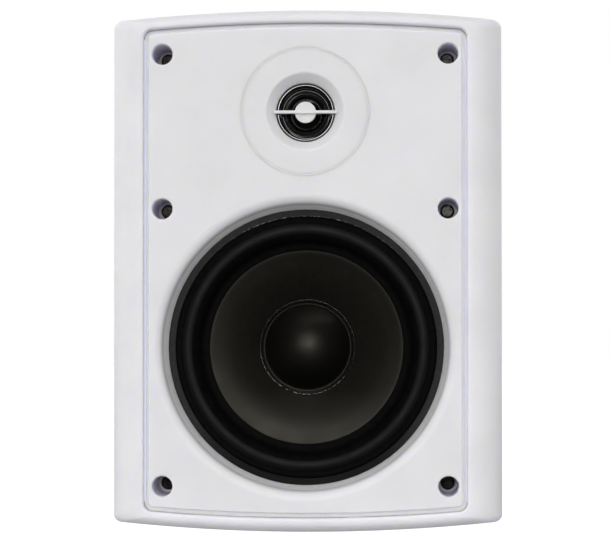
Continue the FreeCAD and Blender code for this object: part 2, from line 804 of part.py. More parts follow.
# Woofer frame
def woofer_gasket():
    """The ring between the basket and the baffle, with ears for the screws."""
    body = new_body("woofer_gasket_ring")
    hem = "gasket_inner + surround_hem + 0.2"
    turn(body, [
        ("gasket_inner", "woofer_seat"),
        ("basket_rim", "woofer_seat"),
        ("basket_rim", "surround_back"),
        (hem, "surround_back"),
        (hem, "surround_front"),
        ("gasket_inner", "surround_front"),
    ])
    pad(body, discs(EAR_SPOTS, "woofer_ear"), "woofer_seat", "surround_back - woofer_seat")
    pocket(body, discs(EAR_SPOTS, "woofer_screw_radius + screw_play"), "woofer_seat - 1", "gasket_thickness + 4")
    place(body, "-woofer_drop")


def window(angle):
    """The outline of one opening between the basket's spokes."""
    low, high = f"({angle} - window_half_angle)", f"({angle} + window_half_angle)"
    return [
        (f"window_inner * cos({low})", f"window_inner * sin({low})"),
        (f"window_outer * cos({low})", f"window_outer * sin({low})", "window_outer", 1),
        (f"window_outer * cos({high})", f"window_outer * sin({high})"),
        (f"window_inner * cos({high})", f"window_inner * sin({high})", "window_inner", -1),
    ]


def woofer_basket():
    body = new_body("woofer_basket")
    turn(body, [
        ("basket_rim", "surround_back"),
        ("basket_throat", "surround_back"),
        ("spider_radius + 1", "shelf_depth"),
        ("basket_cup", "shelf_depth"),
        ("basket_cup - 1", "motor_front - basket_sheet"),
        ("former_radius + coil_thickness + 3", "motor_front - basket_sheet"),
        ("former_radius + coil_thickness + 3", "motor_front"),
        ("basket_cup - 1 + basket_sheet", "motor_front"),
        ("basket_cup + basket_sheet", "shelf_depth + basket_sheet"),
        ("spider_radius + 1 + basket_sheet / 2", "shelf_depth + basket_sheet"),
        ("basket_throat + basket_sheet / 2", "basket_back"),
        ("basket_rim", "basket_back"),
    ])
    pad(body, discs(EAR_SPOTS, "woofer_ear"), "surround_back", "basket_sheet")
    pocket(body, [window(30 + 60 * k) for k in range(6)], "basket_back + 0.5",
           "shelf_depth - basket_back - 1.5")
    pocket(body, discs(EAR_SPOTS, "woofer_screw_radius + screw_play"), "surround_back - 1", "basket_sheet + 2")
    place(body, "-woofer_drop")


def woofer_screws():
    """The screws that hold the basket from behind."""
    body = new_body("woofer_screws")
    pad(body, discs(EAR_SPOTS, "woofer_screw_head"), "basket_back", "1.8")
    pad(body, discs(EAR_SPOTS, "woofer_screw_radius"), "woofer_seat - woofer_screw_grip + 0.5",
        "basket_back - woofer_seat + woofer_screw_grip - 0.5")
    pocket(body, [cross(x, z, 1.5, 0.35) for x, z in EAR_SPOTS], "basket_back + 0.7", "2")
    place(body, "-woofer_drop")


woofer_gasket()
woofer_basket()
woofer_screws()

# Woofer moving pieces
turned("woofer_surround", [
    ("gasket_inner + surround_hem", "surround_front"),
    ("gasket_inner + surround_hem", "surround_back"),
    ("roll_outer - surround_thickness", "surround_back"),
    ("roll_outer - surround_thickness", "surround_front", "surround_roll - surround_thickness", -1),
    ("roll_centre", "surround_front - surround_roll + surround_thickness",
     "surround_roll - surround_thickness", -1),
    ("roll_inner + surround_thickness", "surround_front"),
    ("roll_inner + surround_thickness", "surround_back"),
    ("cone_edge", "surround_back"),
    ("cone_edge", "surround_front"),
    ("roll_inner", "surround_front", "surround_roll", 1),
    ("roll_centre", "surround_front - surround_roll", "surround_roll", 1),
    ("roll_outer", "surround_front"),
], "-woofer_drop")

turned("woofer_cone", [
    ("roll_inner", "surround_back"),
    ("roll_inner", "surround_back + cone_thickness"),
    ("cone_edge", "surround_back + cone_thickness", "cone_curve", -1),
    ("former_radius + cone_thickness", "neck_front + cone_thickness"),
    ("former_radius + cone_thickness", "neck_front + cone_neck"),
    ("former_radius", "neck_front + cone_neck"),
    ("former_radius", "neck_front", "cone_curve", 1),
    ("cone_edge", "surround_back"),
], "-woofer_drop")

turned("woofer_dust_cap", [
    ("0", "cap_foot - cap_thickness - cap_rise", "cap_curve", 1),
    ("cap_dome", "cap_foot - cap_thickness"),
    ("cap_radius", "cap_edge - cap_thickness"),
    ("cap_radius", "cap_edge"),
    ("cap_dome_inside", "cap_foot", "cap_curve_inside", -1),
    ("0", "cap_foot - cap_rise"),
], "-woofer_drop")

turned("woofer_coil_former", ring("former_radius - former_thickness", "former_radius",
                                  "neck_front + 0.3", "coil_back + 1"), "-woofer_drop")
turned("woofer_voice_coil", ring("former_radius", "former_radius + coil_thickness",
                                 "coil_front", "coil_back"), "-woofer_drop")


def woofer_spider():
    """The corrugated disc that centres the coil."""
    waves = 8
    flat = "basket_cup + 0.5"
    front, back = [("former_radius", "spider_depth")], [("former_radius", "shelf_depth")]
    for k in range(1, waves + 1):
        radius = f"former_radius + ({flat} - former_radius) * {k} / {waves + 1}"
        rise = "spider_wave" if k % 2 else "-spider_wave"
        front.append((radius, f"spider_depth + {rise}"))
        back.append((radius, f"shelf_depth + {rise}"))
    front += [(flat, "spider_depth"), ("spider_radius", "spider_depth")]
    back += [(flat, "shelf_depth"), ("spider_radius", "shelf_depth")]
    turned("woofer_spider", front + back[::-1], "-woofer_drop")


woofer_spider()

# Woofer motor
turned("woofer_top_plate", ring("former_radius + coil_thickness + coil_gap", "motor_plate_radius",
                                "motor_front", "motor_plate_back"), "-woofer_drop")
turned("woofer_magnet", ring("magnet_bore", "magnet_radius", "motor_plate_back", "magnet_back"), "-woofer_drop")
turned("woofer_back_plate", [
    ("0", "motor_front"),
    ("former_radius - former_thickness - coil_gap", "motor_front"),
    ("former_radius - former_thickness - coil_gap", "magnet_back"),
    ("motor_plate_radius", "magnet_back"),
    ("motor_plate_radius", "motor_back"),
    ("0", "motor_back"),
], "-woofer_drop")


def tag_board(label, low, high, front, height):
    """A flat fibre board that carries two tags."""
    body = new_body(label)
    pad(body, [box("-tag_board_width / 2", "tag_board_width / 2", low, high)], front, "tag_board_thickness")
    place(body, height)


def tags(label, spread, low, high, front, height):
    """Two solder tags on a board."""
    body = new_body(label)
    pad(body, [box(f"{side}{spread} - tag_width / 2", f"{side}{spread} + tag_width / 2", low, high)
               for side in ("", "-")], front, "tag_thickness")
    place(body, height)


tag_board("woofer_tag_board", "basket_cup + 2", "spider_radius + 8", "shelf_depth + basket_sheet", "-woofer_drop")
tags("woofer_tags", "tag_spread", "basket_cup + 4", "tag_outer", "tag_board_back", "-woofer_drop")


def wire(label, stops, radius, bend, height="0"):
    """A round wire of straight runs joined by arcs through the given places."""
    points = [FreeCAD.Vector(*[value(part) for part in stop]) for stop in stops]
    edges = []
    last = points[0]
    for before, corner, after in zip(points, points[1:], points[2:]):
        inward, outward = (before - corner).normalize(), (after - corner).normalize()
        half = inward.getAngle(outward) / 2
        back = value(bend) / math.tan(half)
        middle = corner + (inward + outward).normalize() * (value(bend) / math.sin(half) - value(bend))
        start, end = corner + inward * back, corner + outward * back
        edges.append(Part.LineSegment(last, start).toShape())
        edges.append(Part.Arc(start, middle, end).toShape())
        last = end
    edges.append(Part.LineSegment(last, points[-1]).toShape())
    direction = points[1] - points[0]
    circle = Part.Wire([Part.makeCircle(value(radius), points[0], direction)])
    thing = doc.addObject("Part::Feature", label)
    thing.Label = label
    thing.Shape = Part.Wire(edges).makePipeShell([circle], True, False)
    place(thing, height)


for name, side in (("plus", ""), ("minus", "-")):
    x = side + "tag_spread"
    wire("woofer_lead_" + name, [
        (x, "tag_board_back", "tag_outer - lead_radius"),
        (x, "lead_foot + 9", "tag_outer - lead_radius"),
        (x, "lead_foot + 4.5", "lead_landing"),
        (x, "lead_foot", "lead_landing"),
    ], "lead_radius", "wire_bend * 0.7", "-woofer_drop")


# Tweeter
def is_funnel_edge(edge):
    """Whether an edge is the funnel's mouth or its throat."""
    rim = edge.BoundBox.XMax
    mouth = lies_at(edge, "0") and abs(rim - value("funnel_outer")) < 0.001
    throat = lies_at(edge, "funnel_depth") and abs(rim - value("funnel_inner")) < 0.001
    return mouth or throat


def tweeter_faceplate():
    """The round plate with its funnel, bridge bar and disc."""
    body = new_body("tweeter_faceplate")
    edge = "face_radius - face_gap"
    turn(body, [
        ("funnel_outer", "0"),
        (f"{edge} - 0.5", "0"),
        (edge, "0.5"),
        (edge, "panel_thickness"),
        ("face_flange", "panel_thickness"),
        ("face_flange", "face_back"),
        ("face_radius - 2", "face_back"),
        ("face_radius - 2", "face_skin"),
        ("clamp_outer + 0.5", "face_skin"),
        ("clamp_outer + 0.5", "face_back"),
        ("funnel_inner", "face_back"),
        ("funnel_inner", "funnel_depth"),
    ])
    soften(body, "funnel_round", is_funnel_edge)
    pad(body, discs(MOTOR_SCREWS, "small_screw_head + 0.6"), "face_skin - 1", "lip_back - face_skin + 1")
    half = "bridge_height / 2"
    pad(body, [box("-funnel_inner - 1", "funnel_inner + 1", "-" + half, half)], "bridge_front", "bridge_depth")
    pad(body, [("0", "0", "disc_radius")], "bridge_front + bridge_depth - 1", "disc_thickness")
    pocket(body, discs(FACE_SCREWS, "small_screw_radius + screw_play"), "panel_thickness - 1", "5")
    pocket(body, discs(MOTOR_SCREWS, "small_screw_radius"), "face_skin + 1", "clamp_depth + 5")
    place(body, "tweeter_rise")


tweeter_faceplate()
turned("tweeter_clamp_ring", [
    ("edge_radius", "lip_front"),
    ("edge_radius", "lip_front - 0.9"),
    ("funnel_inner + 0.2", "face_back"),
    ("clamp_outer", "face_back"),
    ("clamp_outer", "lip_front"),
], "tweeter_rise")

turned("tweeter_dome", [
    ("0", "lip_front - dome_rise", "dome_curve", 1),
    ("dome_radius", "lip_front"),
    ("dome_radius", "lip_back + 4.3"),
    ("dome_inside", "lip_back + 4.3"),
    ("dome_inside", "lip_back", "dome_curve_inside", -1),
    ("0", "lip_back - dome_rise"),
], "tweeter_rise")

turned("tweeter_suspension", [
    ("dome_radius", "lip_front"),
    ("dome_radius + 0.6", "lip_front", "edge_curve", 1),
    ("edge_middle", "lip_front - edge_rise", "edge_curve", 1),
    ("edge_radius", "lip_front"),
    ("clamp_outer - 1", "lip_front"),
    ("clamp_outer - 1", "lip_back"),
    ("edge_radius", "lip_back", "edge_curve", -1),
    ("edge_middle", "lip_back - edge_rise", "edge_curve", -1),
    ("dome_radius + 0.6", "lip_back"),
    ("dome_radius", "lip_back"),
], "tweeter_rise")

turned("tweeter_voice_coil", ring("dome_radius", "dome_radius + tweeter_coil_thickness",
                                  "lip_back + 1", "lip_back + 4"), "tweeter_rise")


def tweeter_top_plate():
    body = new_body("tweeter_top_plate")
    turn(body, [
        ("tweeter_bore", "lip_back + 0.8"),
        ("edge_radius + 0.3", "lip_back + 0.8"),
        ("edge_radius + 0.3", "lip_back"),
        ("tweeter_plate_radius", "lip_back"),
        ("tweeter_plate_radius", "tweeter_plate_back"),
        ("tweeter_bore", "tweeter_plate_back"),
    ])
    pocket(body, discs(MOTOR_SCREWS, "small_screw_radius + screw_play"), "lip_back - 1",
           "tweeter_plate_thickness + 2")
    place(body, "tweeter_rise")


tweeter_top_plate()
turned("tweeter_magnet", ring("tweeter_magnet_bore", "tweeter_magnet_radius",
                              "tweeter_plate_back", "tweeter_magnet_back"), "tweeter_rise")
turned("tweeter_back_plate", [
    ("0", "lip_back + 1"),
    ("tweeter_pole", "lip_back + 1"),
    ("tweeter_pole", "tweeter_magnet_back"),
    ("tweeter_magnet_radius - 1", "tweeter_magnet_back"),
    ("tweeter_magnet_radius - 1", "tweeter_magnet_back + tweeter_back_thickness"),
    ("0", "tweeter_magnet_back + tweeter_back_thickness"),
], "tweeter_rise")


def small_screws(label, spots, seat, grip, height):
    """Small screws driven from behind, their heads on a seat."""
    body = new_body(label)
    pad(body, discs(spots, "small_screw_head"), seat, "small_screw_head_height")
    pad(body, discs(spots, "small_screw_radius"), f"{seat} - {grip}", grip)
    pocket(body, [cross(x, z, 1.2, 0.3) for x, z in spots], f"{seat} + small_screw_head_height - 0.8", "2")
    place(body, height)


small_screws("tweeter_plate_screws", FACE_SCREWS, "face_back", "face_flange_thickness + 2", "tweeter_rise")
small_screws("tweeter_motor_screws", MOTOR_SCREWS, "tweeter_plate_back", "tweeter_plate_thickness + 4",
             "tweeter_rise")
tag_board("tweeter_tag_board", "-tweeter_plate_radius + 0.5", "-tweeter_magnet_radius - 0.5",
          "tweeter_plate_back", "tweeter_rise")
tags("tweeter_tags", "tweeter_tag_spread", "-tweeter_plate_radius - 4", "-tweeter_magnet_radius - 1.5",
     "tweeter_plate_back + tag_board_thickness", "tweeter_rise")


# Crossover
def crossover_board():
    body = new_body("crossover_board")
    pad(body, [rounded("board_width / 2", "board_height / 2", "2")], "board_front", "board_thickness")
    pocket(body, discs(BOARD_SCREWS, "small_screw_radius + screw_play"), "board_front - 1", "board_thickness + 2")
    place(body, "board_rise")


def crossover_screws():
    body = new_body("crossover_screws")
    pad(body, discs(BOARD_SCREWS, "small_screw_head"), "board_front - small_screw_head_height",
        "small_screw_head_height")
    pad(body, discs(BOARD_SCREWS, "small_screw_radius"), "board_front", "board_thickness + standoff - 1")
    pocket(body, [cross(x, z, 1.2, 0.3) for x, z in BOARD_SCREWS], "board_front - small_screw_head_height", "0.8")
    place(body, "board_rise")


def inductor():
    """A coil of copper wire on a plastic spool that stands on the board."""
    body = new_body("inductor_bobbin")
    front, back = "board_front - bobbin_width", "board_front"
    turn(body, [
        ("2.5", front),
        ("bobbin_radius", front),
        ("bobbin_radius", f"{front} + bobbin_wall"),
        ("bobbin_core", f"{front} + bobbin_wall"),
        ("bobbin_core", f"{back} - bobbin_wall"),
        ("bobbin_radius", f"{back} - bobbin_wall"),
        ("bobbin_radius", back),
        ("2.5", back),
    ], x="-coil_side")
    place(body, "board_rise")
    body = new_body("inductor_winding")
    turn(body, ring("bobbin_core", "winding_radius", f"{front} + bobbin_wall", f"{back} - bobbin_wall"),
         x="-coil_side")
    place(body, "board_rise")


def capacitor(label, radius, rise):
    """A round capacitor that lies on the board."""
    body = new_body(label)
    pad_across(body, [(f"board_front - {radius}", rise, radius)], "capacitor_side - capacitor_length / 2",
               "capacitor_length")
    place(body, "board_rise")


def resistor():
    body = new_body("resistor_block")
    half = "resistor_height / 2"
    pad(body, [box("capacitor_side - capacitor_length / 2", "capacitor_side + capacitor_length / 2",
                   f"resistor_rise - {half}", f"resistor_rise + {half}")],
        "board_front - resistor_height", "resistor_height")
    place(body, "board_rise")


crossover_board()
crossover_screws()
inductor()
capacitor("capacitor_large", "capacitor_radius", "capacitor_rise")
capacitor("capacitor_small", "small_capacitor_radius", "small_capacitor_rise")
resistor()


# Terminal cup
def terminal_cup():
    """The recessed tub at the back with cheeks that carry the levers."""
    body = new_body("terminal_cup")
    pad(body, [rounded("cup_width / 2", "cup_height / 2", "cup_corner")], "cup_front", "cup_flange")
    pad(body, [rounded("tub_width / 2 + tub_wall", "tub_height / 2 + tub_wall", "cup_corner")],
        "tub_front", "tub_depth + tub_wall + cup_seal + 1")
    pocket(body, [rounded("tub_width / 2", "tub_height / 2", "cup_corner - tub_wall")],
           "tub_floor", "tub_depth + cup_flange + 5")
    half = "cheek_thickness / 2"
    pad(body, [box(f"{place_x} - {half}", f"{place_x} + {half}", "-5", "8.5")
               for place_x in ("-cheek_place", "0", "cheek_place")], "tub_floor - 1", "tub_depth - 3.5")
    pocket_across(body, [("lever_axis", "1", "lever_pin_radius")], "-cheek_place - 5", "2 * cheek_place + 10")
    pocket(body, [box(f"{side}lever_side - leaf_width / 2", f"{side}lever_side + leaf_width / 2",
                      "-4.4 - leaf_thickness", "-4.4") for side in ("", "-")], "tub_front - 1", "tub_wall + 2")
    pocket(body, discs(CUP_SCREWS, "small_screw_radius + screw_play"), "cup_front - 1", "cup_flange + 2")
    place(body, "-terminal_drop")


def terminal_cup_seal():
    body = new_body("terminal_cup_seal")
    pad(body, [rounded("cup_width / 2", "cup_height / 2", "cup_corner"),
               rounded("tub_width / 2 + tub_wall + tub_gap", "tub_height / 2 + tub_wall + tub_gap", "cup_corner")],
        "cabinet_depth", "cup_seal")
    pocket(body, discs(CUP_SCREWS, "small_screw_radius + screw_play"), "cabinet_depth - 1", "cup_seal + 2")
    place(body, "-terminal_drop")


def lever(label, side):
    """A spring lever that turns on the pin."""
    body = new_body(label)
    axis = "lever_axis"
    spots = [(3.1, -0.9), (3.1, 0.9), (7.0, 15.5), (3.8, 15.5), (-0.9, 3.1), (-3.1, 0.9),
             (-3.6, -5.4), (-1.4, -5.4), (0.9, -3.1)]
    outline = [(f"{axis} + {y}", f"1 + {z}") for y, z in spots]
    pad_across(body, [outline], f"{side}lever_side - lever_width / 2", "lever_width")
    soften(body, "0.7", lambda edge: abs(edge.BoundBox.XLength - value("lever_width")) < 0.01)
    pocket_across(body, [(axis, "1", "lever_pin_radius + lever_play")],
                  f"{side}lever_side - lever_width / 2 - 1", "lever_width + 2")
    place(body, "-terminal_drop")


def wire_guide(label, side):
    """The block with the hole that takes a bared wire."""
    body = new_body(label)
    half = "guide_width / 2"
    pad(body, [box(f"{side}lever_side - {half}", f"{side}lever_side + {half}", "-tub_height / 2", "-7")],
        "tub_floor", "tub_depth - 5")
    pocket(body, [(f"{side}lever_side", "-guide_drop", "wire_hole")], "tub_floor + 1", "tub_depth")
    place(body, "-terminal_drop")


def contact_leaf(label, side):
    """The flat spring that meets the lever's tail and ends in a solder tag inside."""
    body = new_body(label)
    half = "leaf_width / 2"
    pad(body, [box(f"{side}lever_side - {half}", f"{side}lever_side + {half}", "-4.4 - leaf_thickness", "-4.4")],
        "tag_tip", "lever_axis - tag_tip + 1")
    place(body, "-terminal_drop")


terminal_cup()
terminal_cup_seal()
small_screws("terminal_cup_screws", CUP_SCREWS, "cup_front + cup_flange", "cup_screw_length + 1", "-terminal_drop")
for colour, side in (("red", ""), ("black", "-")):
    lever(colour + "_lever", side)
    wire_guide(colour + "_wire_guide", side)
    contact_leaf(colour + "_contact_leaf", side)


def lever_pin():
    body = new_body("lever_pin")
    pad_across(body, [("lever_axis", "1", "lever_pin_radius")], "-cheek_place - 3", "2 * cheek_place + 6")
    place(body, "-terminal_drop")


lever_pin()

# Internal wires
for colour, side in (("red", ""), ("black", "-")):
    low = "-terminal_drop - 4.4 - leaf_thickness / 2"
    wire("input_wire_" + colour, [
        (f"{side}lever_side", "tag_tip", low),
        (f"{side}lever_side", "tag_tip - 8", low),
        (f"{side}14", "tag_tip - 8", "board_rise - board_height / 2 + 3.5"),
        (f"{side}14", "board_front", "board_rise - board_height / 2 + 3.5"),
    ], "wire_radius", "wire_bend")
    high = "-woofer_drop + spider_radius + 4"
    wire("woofer_wire_" + colour, [
        (f"{side}tag_spread", "tag_board_back + tag_thickness", high),
        (f"{side}tag_spread", "board_front - 26", high),
        (f"{side}tag_spread", "board_front - 14", "board_rise - board_height / 2 + 5"),
        (f"{side}tag_spread", "board_front", "board_rise - board_height / 2 + 5"),
    ], "wire_radius", "wire_bend")
    low = "tweeter_rise - tweeter_plate_radius - 2"
    wire("tweeter_wire_" + colour, [
        (f"{side}tweeter_tag_spread", "tweeter_plate_back + tag_board_thickness + tag_thickness", low),
        (f"{side}tweeter_tag_spread", "board_front - 26", low),
        (f"{side}tweeter_tag_spread", "board_front - 14", "board_rise + board_height / 2 - 5"),
        (f"{side}tweeter_tag_spread", "board_front", "board_rise + board_height / 2 - 5"),
    ], "wire_radius", "wire_bend")


def write_parts():
    """Check every object, then write each sub-part as its own file."""
    doc.recompute()
    for thing in doc.Objects:
        if "Invalid" in thing.State or "Error" in thing.State:
            raise RuntimeError(f"{thing.Label} is not sound: {thing.State}")
    os.makedirs("parts", exist_ok=True)
    for thing in nodes:
        if thing.Shape.isNull() or not thing.Shape.isValid():
            raise RuntimeError(f"{thing.Label} has no valid shape")
        thing.Shape.exportStep(f"parts/{thing.Label}.step")
        print(thing.Label, len(thing.Shape.Solids), round(thing.Shape.Volume / 1000, 2), "cm3")


write_parts()
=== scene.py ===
# %% [markdown]
# # A white two-way wall speaker
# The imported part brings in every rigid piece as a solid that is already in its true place, so
# those pieces only need a finish. The soft and hand-glued pieces, such as the rubber roll, the
# paper cone and the glue around its cap, look too clean as solids, so they are modelled here.

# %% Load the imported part
import math

import bpy
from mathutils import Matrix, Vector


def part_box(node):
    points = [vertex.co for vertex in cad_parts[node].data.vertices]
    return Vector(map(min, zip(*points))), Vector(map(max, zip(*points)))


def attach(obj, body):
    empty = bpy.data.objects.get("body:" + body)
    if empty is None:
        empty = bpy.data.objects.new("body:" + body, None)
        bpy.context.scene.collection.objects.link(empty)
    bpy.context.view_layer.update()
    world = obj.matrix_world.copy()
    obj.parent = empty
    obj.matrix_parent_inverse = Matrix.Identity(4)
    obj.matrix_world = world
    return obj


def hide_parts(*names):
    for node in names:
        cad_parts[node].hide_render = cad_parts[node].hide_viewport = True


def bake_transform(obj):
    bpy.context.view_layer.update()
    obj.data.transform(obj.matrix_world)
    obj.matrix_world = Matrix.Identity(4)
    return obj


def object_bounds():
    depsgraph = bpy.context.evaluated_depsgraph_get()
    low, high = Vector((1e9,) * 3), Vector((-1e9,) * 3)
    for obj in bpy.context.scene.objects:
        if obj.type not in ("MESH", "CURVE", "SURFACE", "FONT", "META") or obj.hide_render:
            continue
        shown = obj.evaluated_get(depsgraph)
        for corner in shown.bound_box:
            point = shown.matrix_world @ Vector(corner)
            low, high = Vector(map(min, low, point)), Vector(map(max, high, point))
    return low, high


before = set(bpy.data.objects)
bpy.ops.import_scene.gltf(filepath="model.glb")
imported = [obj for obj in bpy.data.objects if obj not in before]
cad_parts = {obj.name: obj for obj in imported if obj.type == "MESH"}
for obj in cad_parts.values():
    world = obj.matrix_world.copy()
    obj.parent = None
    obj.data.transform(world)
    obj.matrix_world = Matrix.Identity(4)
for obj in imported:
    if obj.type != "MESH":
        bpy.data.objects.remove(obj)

cad_low, cad_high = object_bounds()
print("CAD box in metres:", [round(v, 4) for v in cad_low], [round(v, 4) for v in cad_high])

# %% [markdown]
# ## Camera
# The photograph was taken square to the front, but from a little to the right of the middle and
# below it, so the left walls of the screw wells show. A turned camera would make the upright
# edges lean. A shifted lens keeps them upright, so most of the offset is shift and the rest is
# a turn of about one degree.

# %% Camera
camera_data = bpy.data.cameras.new("front_camera")
camera_data.sensor_width = 36
camera_data.lens = 83.9
camera_data.shift_x = -0.1309
camera_data.shift_y = 0.068
camera = bpy.data.objects.new("front_camera", camera_data)
camera.location = (0.0517, -0.7781, 0.0940)
camera.rotation_euler = (math.radians(90.66), math.radians(0.07), math.radians(0.96))
bpy.context.scene.collection.objects.link(camera)
bpy.context.scene.camera = camera
print("camera at", tuple(round(v, 3) for v in camera.location))

# %% [markdown]
# ## Room light and background
# The speaker hangs in a pale studio: bright around it, brightest on the left, and dim below. A
# world made of one colour would fill every shadow and grey every black, so the colour follows
# the direction instead, and a broad panel of light hangs above the front. The camera sees plain
# white, and shiny pieces see white behind the speaker and a dark room in front of it.

# %% Studio world


def add_node(tree, kind, **values):
    """A shader node with some of its inputs set; an underscore stands for a space."""
    made = tree.nodes.new(kind)
    for key, value in values.items():
        made.inputs[key.replace("_", " ")].default_value = value
    return made


def set_ramp(ramp, stops):
    """Give a colour ramp its stops, each a place from 0 to 1 and a colour."""
    band = ramp.color_ramp
    while len(band.elements) < len(stops):
        band.elements.new(0.5)
    for element, (place, colour) in zip(band.elements, stops):
        element.position = place
        element.color = (*colour, 1)


scene = bpy.context.scene
scene.view_settings.view_transform = "Standard"
studio = bpy.data.worlds.new("studio")
scene.world = studio
studio.use_nodes = True
sky = studio.node_tree
sky.nodes.clear()
direction = sky.nodes.new("ShaderNodeTexCoord")
parts = sky.nodes.new("ShaderNodeSeparateXYZ")
height = add_node(sky, "ShaderNodeMapRange", From_Min=-1, From_Max=1)
room_ramp = sky.nodes.new("ShaderNodeValToRGB")
set_ramp(room_ramp, [(0.0, (0.24, 0.24, 0.25)), (0.35, (0.50, 0.50, 0.52)), (0.50, (1.34, 1.34, 1.38)),
                     (0.60, (1.44, 1.44, 1.48)), (0.80, (0.62, 0.62, 0.64)), (1.0, (0.04, 0.04, 0.04))])
side = add_node(sky, "ShaderNodeMapRange", From_Min=-1, From_Max=1, To_Min=1.40, To_Max=0.84)
front_back = add_node(sky, "ShaderNodeMapRange", From_Min=-1, From_Max=1)
front_ramp = sky.nodes.new("ShaderNodeValToRGB")
set_ramp(front_ramp, [(0.0, (0.10, 0.10, 0.10)), (0.05, (0.24, 0.24, 0.24)), (0.14, (0.80, 0.80, 0.80)),
                      (0.25, (0.80, 0.80, 0.80)), (0.40, (1.00, 1.00, 1.00)), (1.0, (1.04, 1.04, 1.04))])
level = sky.nodes.new("ShaderNodeMath")
level.operation = "MULTIPLY_ADD"
panel_rise, panel_outer, panel_inner = (math.radians(v) for v in (35, 36, 14))
panel_dot = sky.nodes.new("ShaderNodeVectorMath")
panel_dot.operation = "DOT_PRODUCT"
panel_dot.inputs[1].default_value = (0, -math.cos(panel_rise), math.sin(panel_rise))
panel_light = add_node(sky, "ShaderNodeMapRange", From_Min=math.cos(panel_outer),
                       From_Max=math.cos(panel_inner), To_Max=2.0)
depth = add_node(sky, "ShaderNodeMapRange", From_Min=0.05, From_Max=0.6)
mirror_ramp = sky.nodes.new("ShaderNodeValToRGB")
set_ramp(mirror_ramp, [(0.0, (0.012, 0.012, 0.012)), (1.0, (1.0, 1.0, 1.0))])
room_light = sky.nodes.new("ShaderNodeBackground")
mirror_light = add_node(sky, "ShaderNodeBackground", Strength=1.0)
white_light = add_node(sky, "ShaderNodeBackground", Strength=1.0, Color=(1, 1, 1, 1))
rays = sky.nodes.new("ShaderNodeLightPath")
seen = sky.nodes.new("ShaderNodeMath")
seen.operation = "MAXIMUM"
pick_seen = sky.nodes.new("ShaderNodeMixShader")
pick_mirror = sky.nodes.new("ShaderNodeMixShader")
world_output = sky.nodes.new("ShaderNodeOutputWorld")
for source, target in [
    (direction.outputs["Generated"], parts.inputs[0]),
    (parts.outputs["Z"], height.inputs["Value"]),
    (height.outputs["Result"], room_ramp.inputs["Fac"]),
    (room_ramp.outputs["Color"], room_light.inputs["Color"]),
    (parts.outputs["X"], side.inputs["Value"]),
    (parts.outputs["Y"], front_back.inputs["Value"]),
    (front_back.outputs["Result"], front_ramp.inputs["Fac"]),
    (side.outputs["Result"], level.inputs[0]),
    (front_ramp.outputs["Color"], level.inputs[1]),
    (direction.outputs["Generated"], panel_dot.inputs[0]),
    (panel_dot.outputs["Value"], panel_light.inputs["Value"]),
    (panel_light.outputs["Result"], level.inputs[2]),
    (level.outputs[0], room_light.inputs["Strength"]),
    (parts.outputs["Y"], depth.inputs["Value"]),
    (depth.outputs["Result"], mirror_ramp.inputs["Fac"]),
    (mirror_ramp.outputs["Color"], mirror_light.inputs["Color"]),
    (rays.outputs["Is Camera Ray"], seen.inputs[0]),
    (rays.outputs["Is Transmission Ray"], seen.inputs[1]),
    (rays.outputs["Is Glossy Ray"], pick_mirror.inputs["Fac"]),
    (room_light.outputs[0], pick_mirror.inputs[1]),
    (mirror_light.outputs[0], pick_mirror.inputs[2]),
    (seen.outputs[0], pick_seen.inputs["Fac"]),
    (pick_mirror.outputs[0], pick_seen.inputs[1]),
    (white_light.outputs[0], pick_seen.inputs[2]),
    (pick_seen.outputs[0], world_output.inputs["Surface"]),
]:
    sky.links.new(source, target)
print("studio world with", len(sky.nodes), "nodes")

# %% [markdown]
# ## Two lamps
# The bright spot on the dust cap sits just above its middle, so the main light stood in front of
# the speaker, about ten degrees up from its woofer. The crescent on the tweeter's dome lies high
# on it, so a second, long and narrow light hung well above. Two area lamps in those places give
# these spots, the light along the rubber roll, and the shade under the top edge.

# %% Lamps


def add_lamp(name, place, aim, size, energy, colour):
    """A rectangular area lamp at one place that points at another."""
    lamp_data = bpy.data.lights.new(name, "AREA")
    lamp_data.shape = "RECTANGLE"
    lamp_data.size, lamp_data.size_y = size
    lamp_data.energy = energy
    lamp_data.color = colour
    lamp = bpy.data.objects.new(name, lamp_data)
    away = [a - b for a, b in zip(place, aim)]
    tilt = math.atan2(math.hypot(away[0], away[1]), away[2])
    lamp.location = place
    lamp.rotation_euler = (tilt, 0, math.atan2(away[0], -away[1]))
    scene.collection.objects.link(lamp)
    print(name, round(math.sqrt(sum(v * v for v in away)), 2), "m from the front")


add_lamp("soft_box", (-0.02, -1.45, 0.30), (0.0, -0.07, 0.06), (0.44, 0.36), 3.6, (1.0, 0.985, 0.96))
add_lamp("strip_light", (0.40, -1.17, 1.80), (0.0, -0.07, 0.19), (2.10, 0.13), 2.4, (1.0, 0.99, 0.97))
